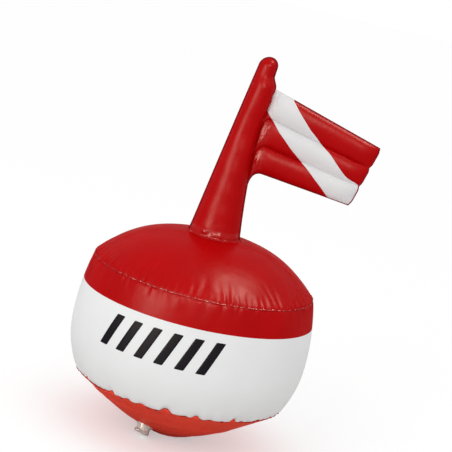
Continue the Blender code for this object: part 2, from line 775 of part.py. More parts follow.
def extruded(outline, half_width):
    """A closed block whose (x, z) outline runs anticlockwise seen from -Y."""
    mesh = bmesh.new()
    near = [mesh.verts.new((x, -half_width, z)) for x, z in outline]
    far = [mesh.verts.new((x, half_width, z)) for x, z in outline]
    mesh.faces.new(near)
    mesh.faces.new(list(reversed(far)))
    for k in range(len(outline)):
        after = (k + 1) % len(outline)
        mesh.faces.new((near[after], near[k], far[k], far[after]))
    return mesh


def make_valve_plug(paint):
    """The stopper: a grip disc with a tapered peg, and a strap that ends in the hinge. Its
    points are counted from the hinge's axis."""
    low = GAP - (BARREL_HEIGHT - STEM_STAND)
    high = low + PLUG_THICKNESS
    profile = [
        (0, high),
        (PLUG_RADIUS - PLUG_CHAMFER, high),
        (PLUG_RADIUS, high - PLUG_CHAMFER),
        (PLUG_RADIUS, low),
        (PLUG_PEG_ROOT, low),
        (PLUG_PEG_TIP, low - PLUG_PEG_LENGTH - GAP),
        (0, low - PLUG_PEG_LENGTH - GAP),
    ]
    mesh = revolve(profile, ROUND)
    bmesh.ops.translate(mesh, verts=mesh.verts, vec=(HINGE_OFFSET, 0, 0))
    made = new_object("valve_plug", mesh, paint)
    inner = HINGE_OFFSET - PLUG_RADIUS + STRAP_OVERLAP
    under = low + STRAP_RAISE
    outline = [(inner, under), (inner, under + STRAP_THICKNESS)]
    for k in range(7):
        turn = math.pi / 2 + math.pi * k / 6
        outline.append((HINGE_BARREL * math.cos(turn), HINGE_BARREL * math.sin(turn)))
    strap = helper("plug_strap", extruded(outline, HINGE_WIDTH / 2))
    boolean(made, strap, "UNION")
    return made, strap


def make_valve_flap(paint):
    """The one-way flap over the stem's inner end, counted from its hinge's axis."""
    half = FLAP_THICKNESS / 2
    mesh = revolve([(0, half), (FLAP_RADIUS, half), (FLAP_RADIUS, -half), (0, -half)], ROUND)
    bmesh.ops.translate(mesh, verts=mesh.verts, vec=(-FLAP_RADIUS, 0, 0))
    return new_object("valve_flap", mesh, paint)


def place(made, parent, matrix):
    made.parent = parent
    made.matrix_local = matrix


def empty(name, matrix):
    made = bpy.data.objects.new(name, None)
    bpy.context.scene.collection.objects.link(made)
    made.matrix_world = matrix
    made.empty_display_size = 0.02
    return made


def make_valve(paint, frame):
    """The four pieces of the valve. The stem's origin is on its own axis, and the plug's and
    the flap's are on their hinges."""
    base = empty("valve_frame", frame)
    place(make_valve_flange(paint), base, Matrix())
    stem, ear = make_valve_stem(paint)
    place(stem, base, Matrix())
    place(ear, stem, Matrix())
    plug, strap = make_valve_plug(paint)
    place(plug, stem, Matrix.Translation((-HINGE_OFFSET, 0, BARREL_HEIGHT)))
    place(strap, plug, Matrix())
    flap = make_valve_flap(paint)
    place(flap, stem, Matrix.Translation((FLAP_RADIUS, 0, STEM_END - GAP - FLAP_THICKNESS / 2)))


def main():
    clear_scene()
    red = material("red_film", RED, 0.30)
    bottom_red = material("bottom_red_film", BOTTOM_RED, 0.32)
    white = material("white_film", WHITE, 0.32)
    clear = material("clear_film", CLEAR, 0.15, transmission=0.85)
    lead = material("lead", LEAD, 0.55, metallic=0.8)
    brass = material("brass", BRASS, 0.30, metallic=1.0)
    valve = valve_frame()

    make_top_panel(red)
    make_shoulder_band(red)
    make_side_band(white)
    make_bottom_panel(bottom_red, valve)
    make_sheet("mast_flag_front", False, red)
    make_sheet("mast_flag_back", True, red)
    make_stripe("flag_stripe_front", False, white)
    make_stripe("flag_stripe_back", True, white)
    make_ballast_weight(lead)
    make_ballast_pocket(bottom_red)
    make_line_tab(bottom_red)
    make_line_eyelet(brass)
    make_eyelet_washer(brass)
    make_valve(clear, valve)


main()
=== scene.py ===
"""Dressed model of the inflatable dive buoy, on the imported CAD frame."""

import math

import bmesh
import bpy
import numpy as np
from mathutils import Matrix, Vector

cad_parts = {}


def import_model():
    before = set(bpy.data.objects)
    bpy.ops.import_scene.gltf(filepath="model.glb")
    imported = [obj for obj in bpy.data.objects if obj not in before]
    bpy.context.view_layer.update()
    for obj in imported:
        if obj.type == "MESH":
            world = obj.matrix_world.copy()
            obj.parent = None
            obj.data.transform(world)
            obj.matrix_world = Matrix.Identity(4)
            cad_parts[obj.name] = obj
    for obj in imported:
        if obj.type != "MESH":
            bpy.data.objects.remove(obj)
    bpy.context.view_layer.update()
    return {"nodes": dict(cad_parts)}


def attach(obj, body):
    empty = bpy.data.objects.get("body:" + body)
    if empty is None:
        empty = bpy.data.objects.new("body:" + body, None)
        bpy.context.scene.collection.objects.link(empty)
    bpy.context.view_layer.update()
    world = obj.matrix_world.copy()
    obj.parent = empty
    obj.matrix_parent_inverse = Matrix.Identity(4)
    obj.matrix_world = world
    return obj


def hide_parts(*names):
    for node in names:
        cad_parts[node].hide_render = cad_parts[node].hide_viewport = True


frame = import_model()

# sizes, as in the CAD source, in metres
FILM = 0.0005
GAP = 0.0003
EDGE_LIP = 0.0015
BALL_RADIUS = 0.150
UPPER_SEAM_RADIUS = 0.140
UPPER_SEAM_HEIGHT = 0.0768
COLOUR_LINE_HEIGHT = 0.0438
LOWER_SEAM_RADIUS = 0.1350
LOWER_SEAM_DEPTH = 0.0670
DOME_RISE = 0.0526
DOME_POWER = 2.79
BOWL_DROP = 0.0697
BOWL_POWER = 1.5
UPPER_BAND_POWER = 2.2
LOWER_BAND_POWER = 2.36
MAST_HEIGHT = 0.2285
MAST_BASE_RADIUS = 0.0312
MAST_MIDDLE_RADIUS = 0.0180
MAST_TOP_RADIUS = 0.0104
MAST_MIDDLE_HEIGHT = 0.110
MAST_MIDDLE_LEAN = 0.0054
MAST_TOP_LEAN = 0.0166
MAST_BASE_LIP = 0.003
CORNER_PULL = 0.0060
CORNER_PULL_BELOW = 0.060
CORNER_PULL_ABOVE = 0.016
FLAG_BELOW_TIP = 0.0365
FLAG_HOIST = 0.1215
FLAG_TOP_LENGTH = 0.1490
FLAG_TOP_DROOP = math.radians(16.0)
FLAG_BOTTOM_LENGTH = 0.1155
FLAG_BOTTOM_DROOP = math.radians(6.5)
FLAG_FILLET_WIDTH = 0.0145
FLAG_FILLET_HEIGHT = 0.0182
FLAG_CHANNELS = 3
CHANNEL_FULLNESS = 0.42
CHANNEL_END = 0.022
FLY_NOTCH = 0.0016
STRIPE_TOP_START = 0.0262
STRIPE_HOIST_DROP = 0.0263
STRIPE_BOTTOM_END = 0.0310
STRIPE_FLY_RISE = 0.0200
POCKET_FOOT_RADIUS = 0.0262
POCKET_WELD_INNER = 0.0310
POCKET_WELD_WIDTH = 0.0070
FOOT_DROP = 0.0033
TAB_WIDTH = 0.024
TAB_THICKNESS = 0.0008
TAB_REACH = 0.064
TAB_WELD_MARGIN = 0.0005
EYELET_BORE = 0.004
EYELET_WALL = 0.0007
EYELET_COLLAR = 0.0030
EYELET_SHEET = 0.0007
VALVE_X = -0.029
VALVE_Y = -0.050
STEM_RADIUS = 0.0090
STEM_BORE = 0.0068
STEM_STAND = 0.0084
STEM_LIP = 0.0010
STEM_LIP_HEIGHT = 0.0015
STEM_BEAD_HEIGHT = 0.0017
RUNNING_GAP = 0.0003
COLLAR_WALL = 0.0017
COLLAR_DEPTH = 0.0070
COLLAR_STAND = 0.0008
VALVE_FLANGE_RADIUS = 0.0165
VALVE_FLANGE_THICKNESS = 0.0010
PLUG_RADIUS = 0.0096
PLUG_THICKNESS = 0.0016
PLUG_PEG_ROOT = 0.0064
PLUG_PEG_TIP = 0.0058
PLUG_PEG_LENGTH = 0.0040
HINGE_OFFSET = 0.0112
HINGE_BARREL = 0.0009
HINGE_WIDTH = 0.0060
FLAP_RADIUS = 0.0080
FLAP_THICKNESS = 0.0006

AROUND = 600  # columns round the ball
TURN = 2 * np.pi * np.arange(AROUND) / AROUND


# the ball's shape, as in the CAD source
def bowl_height(radius):
    return -LOWER_SEAM_DEPTH - BOWL_DROP * (1 - (radius / LOWER_SEAM_RADIUS) ** BOWL_POWER)


def bowl_slope(radius):
    return BOWL_DROP * BOWL_POWER / LOWER_SEAM_RADIUS * (radius / LOWER_SEAM_RADIUS) ** (BOWL_POWER - 1)


EQUATOR = FOOT_DROP - bowl_height(POCKET_WELD_INNER)
DOME_TOP = EQUATOR + UPPER_SEAM_HEIGHT + DOME_RISE
MAST_TIP = DOME_TOP + MAST_HEIGHT
FLAG_TOP = MAST_TIP - FLAG_BELOW_TIP
FLAG_BOTTOM = FLAG_TOP - FLAG_HOIST
COLLAR_BORE = STEM_RADIUS + RUNNING_GAP
COLLAR_RADIUS = COLLAR_BORE + COLLAR_WALL
VALVE_FROM_AXIS = math.hypot(VALVE_X, VALVE_Y)


def dome_height(radius):
    return DOME_TOP - DOME_RISE * (radius / UPPER_SEAM_RADIUS) ** DOME_POWER


def bowl(radius):
    return EQUATOR + bowl_height(radius)


def band_radius(height):
    height = np.asarray(height, dtype=float)
    up = np.clip(height / UPPER_SEAM_HEIGHT, 0, None) ** UPPER_BAND_POWER
    down = np.clip(-height / LOWER_SEAM_DEPTH, 0, None) ** LOWER_BAND_POWER
    return BALL_RADIUS - (BALL_RADIUS - UPPER_SEAM_RADIUS) * up - (BALL_RADIUS - LOWER_SEAM_RADIUS) * down


# materials
EDGE_GLOSS = 0.04  # share of the gloss that is left at a film's edges
EDGE_START = 0.75  # how far a film has turned away where its gloss is down to that


def nodes_of(name):
    made = bpy.data.materials.new(name)
    made.use_nodes = True
    tree = made.node_tree
    return made, tree, tree.nodes["Principled BSDF"]


def add(tree, kind, **values):
    node = tree.nodes.new(kind)
    for key, value in values.items():
        if hasattr(node, key):
            setattr(node, key, value)
        else:
            node.inputs[key.replace("_", " ")].default_value = value
    return node


def noise(tree, scale, detail):
    coords = tree.nodes.get("Coords") or add(tree, "ShaderNodeTexCoord")
    coords.name = "Coords"
    made = add(tree, "ShaderNodeTexNoise", Scale=scale, Detail=detail, Roughness=0.5)
    tree.links.new(coords.outputs["Object"], made.inputs["Vector"])
    return made.outputs["Fac"]


def spread(tree, value, low, high, start=0.3, end=0.7):
    """Maps a value, such as a noise, to a range of numbers."""
    made = add(tree, "ShaderNodeMapRange")
    for key, number in (("From Min", start), ("From Max", end), ("To Min", low), ("To Max", high)):
        made.inputs[key].default_value = number
    tree.links.new(value, made.inputs["Value"])
    return made.outputs["Result"]


def tint(tree, value, dark, light):
    made = add(tree, "ShaderNodeMix", data_type="RGBA")
    made.inputs[6].default_value = (*dark, 1)
    made.inputs[7].default_value = (*light, 1)
    tree.links.new(value, made.inputs[0])
    return made.outputs[2]


def bump(tree, shader, layers):
    """Stacks bumps of (noise scale, detail, depth in metres)."""
    before = None
    for scale, detail, depth in layers:
        made = add(tree, "ShaderNodeBump", Strength=1.0, Distance=depth)
        tree.links.new(noise(tree, scale, detail), made.inputs["Height"])
        if before is not None:
            tree.links.new(before, made.inputs["Normal"])
        before = made.outputs["Normal"]
    tree.links.new(before, shader.inputs["Normal"])


def material(name, cloud, dark, light, grain, rough, bumps, shown):
    """A clouded colour with uneven roughness and bumps. Cloud and grain are a noise's (scale, detail)."""
    made, tree, shader = nodes_of(name)
    clouds = spread(tree, noise(tree, *cloud), 0, 1)
    tree.links.new(tint(tree, clouds, dark, light), shader.inputs["Base Color"])
    tree.links.new(spread(tree, noise(tree, *grain), *rough), shader.inputs["Roughness"])
    bump(tree, shader, bumps)
    made.diffuse_color = (*shown, 1)
    return made, tree, shader


def film(name, colour, rough=0.34, specular=0.06, vary=0.05, sheet=1.0):
    """Soft PVC film: slight clouding of the colour, soft dimples, orange peel and a fine grain.

    Its gloss fades toward the edges, where a white room would wash out the colour.
    """
    dark = [c * (1 - vary) for c in colour]
    light = [min(1, c * (1 + vary)) for c in colour]
    bumps = [(45, 2, 0.0006 * sheet), (190, 2, 0.00013 * sheet), (900, 3, 0.00003)]
    made, tree, shader = material(
        name, (22, 3), dark, light, (60, 4), (rough - 0.04, rough + 0.06), bumps, colour
    )
    facing = add(tree, "ShaderNodeLayerWeight", Blend=0.5)
    gloss = spread(tree, facing.outputs["Facing"], specular, specular * EDGE_GLOSS, 0.0, EDGE_START)
    tree.links.new(gloss, shader.inputs["Specular IOR Level"])
    return made


def clear_vinyl():
    made, _, shader = material(
        "clear_vinyl", (90, 2), (0.86, 0.84, 0.78), (0.90, 0.885, 0.84),
        (120, 2), (0.20, 0.28), [(220, 2, 0.00001)], (0.85, 0.83, 0.77),
    )
    for key, value in (("Transmission Weight", 0.42), ("IOR", 1.5), ("Specular IOR Level", 0.5)):
        shader.inputs[key].default_value = value
    return made


def metal(name, dark, light, rough, scale, depth):
    bumps = [(scale * 6, 3, depth)]
    made, _, shader = material(
        name, (scale, 4), dark, light, (scale * 3, 4), (rough - 0.08, rough + 0.1), bumps, light
    )
    shader.inputs["Metallic"].default_value = 1.0
    return made


RED = film("red_vinyl", (0.463, 0.0012, 0.0022))
LIP_RED = film("red_lip", (0.25, 0.005, 0.009), rough=0.50, specular=0.02)
WELD_RED = film("red_weld", (0.43, 0.003, 0.004), rough=0.26, specular=0.5)
PRESSED_RED = film("red_pressed_film", (0.450, 0.0012, 0.0022), rough=0.27, specular=0.16)
# the bowl's orange-red is its own colour, painted lighter to stand in for light on the shaded underside
BOTTOM_RED = film("orange_red_vinyl", (0.89, 0.070, 0.038), rough=0.28, specular=0.08, sheet=0.5)
# the lower weld's bead, darker than the bowl's film as painted shade in the seam's groove
BOTTOM_WELD_SHADE = film("orange_red_weld_groove_shade", (0.32, 0.012, 0.005), rough=0.35)
WHITE = film("white_vinyl", (0.868, 0.876, 0.870), rough=0.40, specular=0.06, vary=0.012, sheet=0.6)
FLAG_WHITE = film("white_flag_vinyl", (0.785, 0.778, 0.780), rough=0.40, specular=0.04, vary=0.02, sheet=0.6)
INK = film("black_ink", (0.007, 0.005, 0.009), rough=0.45, specular=0.10, vary=0.2, sheet=0.3)
CLEAR = clear_vinyl()
BRASS = metal("worn_brass", (0.50, 0.34, 0.13), (0.72, 0.53, 0.24), 0.28, 260, 0.00002)
LEAD = metal("cast_lead", (0.15, 0.16, 0.17), (0.28, 0.29, 0.31), 0.55, 120, 0.0002)


# building pieces
def new_object(name, data):
    made = bpy.data.objects.new(name, data)
    bpy.context.scene.collection.objects.link(made)
    return made


def new_mesh(name, points, faces):
    data = bpy.data.meshes.new(name)
    data.from_pydata([tuple(p) for p in points], [], faces)
    return data


def piece(name, body, nodes, points, faces, paints, marks=None):
    """A mesh object from points and faces that rides on a body and stands for CAD nodes."""
    data = new_mesh(name, points, faces)
    for paint in paints:
        data.materials.append(paint)
    if marks is not None:
        data.polygons.foreach_set("material_index", marks)
    data.polygons.foreach_set("use_smooth", [True] * len(data.polygons))
    data.update()
    made = new_object(name, data)
    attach(made, body)
    if nodes:
        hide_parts(*nodes)
    return made


def add_points(points, more):
    """Appends points to a list and gives their numbers."""
    first = len(points)
    points += more
    return list(range(first, len(points)))


def row_faces(rows):
    """Quads between rows of point numbers."""
    faces = []
    for lower, upper in zip(rows, rows[1:]):
        faces += [(lower[k], lower[k + 1], upper[k + 1], upper[k]) for k in range(len(lower) - 1)]
    return faces


def ring_faces(rings):
    """Faces between rings of point numbers, some of which may be poles. They face outwards where the
    rings run down the outside and turn anticlockwise seen from above."""
    faces = []
    for upper, lower in zip(rings, rings[1:]):
        count = max(len(upper), len(lower))
        for k in range(count):
            after = (k + 1) % count
            corners = [(upper, k), (lower, k), (lower, after), (upper, after)]
            face = tuple(dict.fromkeys(ring[at % len(ring)] for ring, at in corners))
            if len(face) > 2:
                faces.append(face)
    return faces


def grid_faces(rows):
    """Faces of a number of whole rings round the ball, one after the other."""
    return ring_faces(np.arange(rows * AROUND).reshape(rows, AROUND).tolist())


def curve(start, corner, end, share):
    """A point on the curve that leaves its start towards a corner and reaches its end from there."""
    return start.lerp(corner, share).lerp(corner.lerp(end, share), share)


def round_points(radius, height):
    """Points round the Z axis, one for each angle of TURN."""
    return np.stack(np.broadcast_arrays(radius * np.cos(TURN), radius * np.sin(TURN), height), -1)


def waves(points, seed, scale, count=18):
    """A smooth field between about -1 and 1, from a seeded sum of waves."""
    rng = np.random.default_rng(seed)
    total = np.zeros(points.shape[:-1])
    for _ in range(count):
        direction = rng.normal(size=3)
        direction /= np.linalg.norm(direction)
        length = scale * rng.uniform(0.7, 1.8)
        total += np.sin(points @ direction * 2 * np.pi / length + rng.uniform(0, 2 * np.pi))
    return total / math.sqrt(count)


# the ball's film
PLEAT_RISE = 0.0025  # a pleat has its full depth this far from the seam
WAVE_DEPTH = 0.0005  # slow unevenness of the film
WAVE_SCALE = 0.11
WAVE_START = 0.01  # the film is as uneven as it gets this far from a seam
DOME_SEED = 5  # each seed gives a film its unevenness
SIDE_SEED = 6  # shoulder and side share one, because they meet at the colour line
BOTTOM_SEED = 8
BOTTOM_WAVE_SCALE = 0.09
PUFF_DEPTH = 0.0014  # the bowl's film puffs out beside the seam, at the seam's bumps
PUFF_PLACE = 0.0026
PUFF_WIDTH = 0.0030
PUFF_FULL = 0.0025  # height of a bump that has a full puff
CALM_RADIUS = 0.040  # the bowl's film is smooth inside this radius
CALM_FADE = 0.02
SEAM_FADE = 0.007  # how far from a seam its waviness moves the film
DOME_HOLE = MAST_BASE_RADIUS - 0.004
BEAD_SIDES = 6


def strayed(rng, k, count, stray):
    """The angle of one of a number of places round the ball, moved by up to a share of their pitch."""
    return 2 * math.pi * (k + rng.uniform(-stray, stray)) / count


def angle_from(place):
    """The angle of each column from a place, between minus and plus a half turn."""
    return (TURN - place + np.pi) % (2 * np.pi) - np.pi


def pleat_field(away, radius, seed, count, shortest, longest, depth, width, rarity=2.2):
    """Depth of the pleats round a seam, at distances away from it. Each is a valley between two low
    shoulders that slants a little and dies out away from the seam. Rarity keeps long ones few."""
    rng = np.random.default_rng(seed)
    away = away[:, None]
    radius = radius[:, None]
    field = np.zeros((len(away), AROUND))
    for k in range(count):
        place = strayed(rng, k, count, 0.33)
        share = rng.uniform() ** rarity
        length = shortest + (longest - shortest) * share
        deep = depth * rng.uniform(0.55, 1.0) * (0.7 + 0.6 * share)
        wide = width * rng.uniform(0.8, 1.3)
        slant = rng.normal() * 0.10
        across = np.abs(angle_from(place) * radius - slant * away) / (wide * (1 + 0.7 * away / length))
        fade = np.clip(1 - away / length, 0, 1) ** 1.1 * np.clip(away / PLEAT_RISE, 0, 1) ** 0.7
        field += deep * fade * (np.exp(-across ** 1.6) - 0.30 * np.exp(-((across - 2.0) / 0.9) ** 2))
    return field


def fold_field(away):
    """Long shallow folds that run round the bowl, each with its crest below it."""
    rng = np.random.default_rng(29)
    away = away[:, None]
    field = np.zeros((len(away), AROUND))
    count = 15
    for k in range(count):
        place = strayed(rng, k, count, 0.5)
        share = angle_from(place) / math.radians(rng.uniform(20, 44))
        start = rng.uniform(0.014, 0.062)
        middle = start + rng.uniform(-0.006, 0.010) * share ** 2 + rng.uniform(-0.004, 0.004) * share
        across = (away - middle) / rng.uniform(0.0030, 0.0050)
        depth = rng.uniform(0.0004, 0.0008) * np.exp(-np.abs(share) ** 3)
        field += depth * (np.exp(-across ** 2) - 0.8 * np.exp(-(across - 1.8) ** 2))
    return field


def seam_field(profile, away, pleats, groove):
    """Depth of a panel's pleats, and of the groove (depth, width) at its seam."""
    field = sum(pleat_field(away, profile[:, 0], *sizes) for sizes in pleats)
    depth, width = groove
    return field + depth * np.exp(-(away / width) ** 1.6)[:, None]


def uneven(profile, away, seed, scale=WAVE_SCALE):
    """Slow unevenness of a panel's film, which dies out at its seam."""
    field = WAVE_DEPTH * waves(round_points(profile[:, :1], profile[:, 1:]), seed, scale)
    return field * np.clip(away / WAVE_START, 0, 1)[:, None]


def seam_line(seed, height, width, count, bumps=()):
    """Waviness of a seam round the ball, with chosen bumps (degrees from the front, height, width)."""
    rng = np.random.default_rng(seed)
    spots = []
    for k in range(count):
        place = strayed(rng, k, count, 0.4)
        spots.append((place, height * rng.uniform(-0.5, 1.0), width))
    spots += [(math.radians(angle - 90), rise, wide) for angle, rise, wide in bumps]
    line = np.zeros(AROUND)
    for place, rise, wide in spots:
        line += rise * np.exp(-np.abs(angle_from(place) * UPPER_SEAM_RADIUS / wide) ** 3)
    return line


LOWER_BUMPS = [
    (-54.5, 0.0024, 0.0040), (-34.0, 0.0034, 0.0038), (-24.0, 0.0018, 0.0040), (-16.4, 0.0020, 0.0034),
    (-3.5, 0.0047, 0.0056), (12.5, 0.0028, 0.0044), (33.0, 0.0042, 0.0036), (50.0, 0.0014, 0.0034),
    (62.0, 0.0024, 0.0030), (79.0, 0.0032, 0.0040), (96.0, 0.0024, 0.0030), (112.0, 0.0036, 0.0040),
    (128.0, 0.0020, 0.0026), (149.0, 0.0036, 0.0042), (166.0, 0.0020, 0.0030), (181.0, 0.0042, 0.0038),
    (200.0, 0.0022, 0.0034), (214.0, 0.0034, 0.0030), (229.0, 0.0020, 0.0030), (246.0, 0.0040, 0.0040),
    (264.0, 0.0022, 0.0030), (286.0, 0.0032, 0.0036),
]
UPPER_WAVE = seam_line(11, 0.0005, 0.003, 96)
LOWER_WAVE = seam_line(12, 0.0011, 0.0030, 84, LOWER_BUMPS)


def steps(count, power):
    """0 to 1, closer together at the start."""
    return (np.arange(count) / (count - 1)) ** power


def run_length(profile):
    """Distance along a profile from its first point."""
    return np.concatenate([[0], np.cumsum(np.linalg.norm(np.diff(profile, axis=0), axis=1))])


def panel_points(profile, away, field, wave):
    """A turned panel, moved in along its normal by the field, with one end on the wavy seam. Its
    profile runs down the outside."""
    run = np.gradient(profile, axis=0)
    run /= np.linalg.norm(run, axis=1)[:, None]
    out = profile[:, :1] + field * run[:, 1:]
    up = profile[:, 1:] - field * run[:, :1]
    up += wave * np.exp(-(away / SEAM_FADE) ** 2)[:, None]
    return round_points(out, up).reshape(-1, 3)


def make_panel(name, node, paint, profile, away, wave, pleats, groove, seed):
    """A whole panel. Its pleats come in sets: seed, count, shortest, longest, depth, width, rarity."""
    field = seam_field(profile, away, pleats, groove) + uneven(profile, away, seed)
    points = panel_points(profile, away, field, wave)
    piece(name, "buoy", [node], points, grid_faces(len(profile)), [paint])


def make_dome():
    """The top panel, from the mast down to the upper seam."""
    radius = (UPPER_SEAM_RADIUS - (UPPER_SEAM_RADIUS - DOME_HOLE) * steps(52, 1.7))[::-1]
    profile = np.stack([radius, dome_height(radius)], 1)
    away = run_length(profile[::-1])[::-1]
    pleats = [(21, 100, 0.007, 0.030, 0.0013, 0.0017, 1.5), (22, 58, 0.022, 0.046, 0.0015, 0.0026, 1.0)]
    make_panel(
        "dome_film", "top_panel", RED, profile, away,
        UPPER_WAVE, pleats, (0.0010, 0.0020), DOME_SEED,
    )


def make_shoulder():
    """The red band, from the upper seam down to the colour line."""
    height = UPPER_SEAM_HEIGHT + (COLOUR_LINE_HEIGHT - UPPER_SEAM_HEIGHT) * steps(26, 1.6)
    profile = np.stack([band_radius(height), EQUATOR + height], 1)
    pleats = [(23, 100, 0.004, 0.014, 0.0010, 0.0016), (27, 46, 0.014, 0.031, 0.0012, 0.0040, 1.0)]
    make_panel(
        "shoulder_film", "shoulder_band", RED, profile, UPPER_SEAM_HEIGHT - height,
        UPPER_WAVE, pleats, (0.0009, 0.0018), SIDE_SEED,
    )


def make_side():
    """The white band, from the colour line down to the lower seam."""
    down = 1 - steps(52, 1.6)[::-1]
    height = COLOUR_LINE_HEIGHT - (COLOUR_LINE_HEIGHT + LOWER_SEAM_DEPTH) * down
    profile = np.stack([band_radius(height), EQUATOR + height], 1)
    pleats = [(24, 84, 0.004, 0.016, 0.0009, 0.0019), (28, 40, 0.014, 0.034, 0.0009, 0.0042, 1.0)]
    make_panel(
        "side_film", "side_band", WHITE, profile, height + LOWER_SEAM_DEPTH,
        LOWER_WAVE, pleats, (0.0010, 0.0020), SIDE_SEED,
    )


def valve_frame():
    """Origin on the bowl's outside, +Z out of the ball and +X down the bowl towards the foot."""
    slope = bowl_slope(VALVE_FROM_AXIS)
    away = Vector((VALVE_X, VALVE_Y, 0)) / VALVE_FROM_AXIS
    out = Vector((slope * away.x, slope * away.y, -1)).normalized()
    towards = Vector((-away.x, -away.y, -slope)).normalized()
    turn = Matrix((towards, out.cross(towards), out)).transposed().to_4x4()
    return Matrix.Translation((VALVE_X, VALVE_Y, bowl(VALVE_FROM_AXIS))) @ turn


VALVE = valve_frame()
VALVE_AXES = np.array(VALVE.to_3x3().transposed())
VALVE_PLACE = np.array(VALVE.translation)
VALVE_HOLE = COLLAR_RADIUS + 0.00005
VALVE_CALM = 0.017  # the film is smooth within this distance of the valve's axis
VALVE_CALM_FADE = 0.007
# ridges of the flange's weld ring: height, distance from the valve's axis, width
VALVE_WELD = [(-0.00035, 0.0158, 0.0008), (0.00025, 0.0135, 0.0012)]


def valve_places(points):
    """Points in the valve's own axes, and how far they lie from its axis."""
    local = (points - VALVE_PLACE) @ VALVE_AXES.T
    return local, np.hypot(local[:, 0], local[:, 1])


def smooth_round_valve(points):
    """Takes the folds out of the film round the valve and presses in its flange's weld ring."""
    reach = valve_places(points)[1]
    near = reach < VALVE_CALM + VALVE_CALM_FADE
    smooth = np.stack([points[:, 0], points[:, 1], bowl(np.hypot(points[:, 0], points[:, 1]))], 1)
    share = np.clip((reach - VALVE_CALM) / VALVE_CALM_FADE, 0, 1)[:, None]
    points[near] = (smooth * (1 - share) + points * share)[near]
    ring = sum(rise * np.exp(-((reach - middle) / width) ** 2) for rise, middle, width in VALVE_WELD)
    points[near] += ring[near, None] * VALVE_AXES[2]


def cut_valve_hole(points, faces):
    """The faces left round the valve's collar. Points inside the hole move out to its edge."""
    local, reach = valve_places(points)
    inside = (reach < VALVE_HOLE) & (np.abs(local[:, 2]) < 0.02)
    local[inside, :2] *= (VALVE_HOLE / np.maximum(reach[inside], 1e-9))[:, None]
    points[inside] = local[inside] @ VALVE_AXES + VALVE_PLACE
    points[inside, 2] = bowl(np.hypot(points[inside, 0], points[inside, 1]))
    return faces[~inside[faces].all(axis=1)]


def make_bottom():
    """The orange-red bowl, from the lower seam in to the ballast pocket, with the valve's hole."""
    radius = LOWER_SEAM_RADIUS - (LOWER_SEAM_RADIUS - POCKET_WELD_INNER) * steps(76, 1.45)
    profile = np.stack([radius, bowl(radius)], 1)
    away = run_length(profile)
    pleats = [(25, 84, 0.004, 0.013, 0.0008, 0.0019), (26, 18, 0.020, 0.045, 0.0005, 0.0050, 1.0)]
    field = seam_field(profile, away, pleats, (0.0010, 0.0018))
    puff = PUFF_DEPTH * np.exp(-((away - PUFF_PLACE) / PUFF_WIDTH) ** 2)[:, None]
    field -= puff * np.clip(LOWER_WAVE / PUFF_FULL, 0, 1.5)
    field += fold_field(away)
    calm = np.clip((radius - CALM_RADIUS) / CALM_FADE, 0, 1)[:, None]
    field = field * calm + uneven(profile, away, BOTTOM_SEED, BOTTOM_WAVE_SCALE) * calm
    points = panel_points(profile, away, field, LOWER_WAVE)
    smooth_round_valve(points)
    kept = cut_valve_hole(points, np.array(grid_faces(len(profile))))
    used = np.unique(kept)
    faces = np.searchsorted(used, kept).tolist()
    piece("bottom_film", "buoy", ["bottom_panel"], points[used], faces, [BOTTOM_RED])


def seam_bead(name, paint, radius, height, wave, thick, seed):
    """The thin bead of a weld that lies in the groove of a seam."""
    line = round_points(radius, 0.0)
    rough = thick * np.clip(0.75 + 0.95 * waves(line, seed, 0.0050), 0.2, 1.8)
    sway = 0.25 * thick * waves(line, seed + 10, 0.011)
    points, rings = [], []
    for k in range(BEAD_SIDES):
        turn = 2 * math.pi * k / BEAD_SIDES
        out = radius + sway + rough * math.cos(turn)
        up = height + wave - rough * math.sin(turn)
        rings.append(add_points(points, round_points(out, up).tolist()))
    piece(name, "buoy", [], points, ring_faces(rings + rings[:1]), [paint])


make_dome()
make_shoulder()
make_side()
make_bottom()
seam_bead(
    "upper_weld", WELD_RED, UPPER_SEAM_RADIUS - 0.0004,
    EQUATOR + UPPER_SEAM_HEIGHT, UPPER_WAVE, 0.0007, 31,
)
# the lower bead's dark colour is painted shade along the seam's groove
seam_bead(
    "lower_weld", BOTTOM_WELD_SHADE, LOWER_SEAM_RADIUS - 0.0008,
    EQUATOR - LOWER_SEAM_DEPTH, LOWER_WAVE, 0.0005, 32,
)


# mast and flag
def eased(k, count):
    """0 to 1, closer together at both ends."""
    return 0.5 - 0.5 * math.cos(math.pi * k / count)


PLANE = GAP / 2 + FILM  # how far a sheet's outer face lies off the flag's plane
MAST_COLUMNS = 36
FOOT_ROWS = 44  # rows of the mast from the dome to the flag
NECK_ROWS = 14  # from the flag to the rounded tip
TIP_ROWS = 12
CHANNEL_ROWS = 22
FLAG_ROWS = FLAG_CHANNELS * CHANNEL_ROWS
FLAG_COLUMNS = 96
FLAG_STATIONS = [0.55 * eased(k, FLAG_COLUMNS) + 0.45 * k / FLAG_COLUMNS for k in range(FLAG_COLUMNS + 1)]
CHANNEL_STEPS = [
    (c + eased(k, CHANNEL_ROWS)) / FLAG_CHANNELS for c in range(FLAG_CHANNELS) for k in range(CHANNEL_ROWS)
] + [1.0]
WELD_EDGE = 0.0012  # flat film beside the hoist and the fly, before a channel swells
FULL_SWELL = 0.006  # folds have their full depth where half a channel is this thick
BASE_WELD = 0.0095  # height of the glossier welded film at the mast's base
HOIST_WELD = 0.0125  # reach of the glossier welded film beside the hoist
HOIST_COLUMNS = 4  # the mast's columns that are pressed beside the hoist
BASE_FOLDS = 0.016  # height of the folds at the mast's base
# lumps that the weld draws into the mast's film just over the dome: angle, height, depth, size
BASE_PUCKERS = [
    (24, 0.005, 0.0011, 0.0042), (45, 0.003, 0.0008, 0.0034), (66, 0.0062, 0.0022, 0.0042),
    (88, 0.0030, 0.0010, 0.0034), (104, 0.0040, 0.0012, 0.0040), (127, 0.0032, 0.0010, 0.0036),
    (150, 0.0045, 0.0012, 0.0040),
]
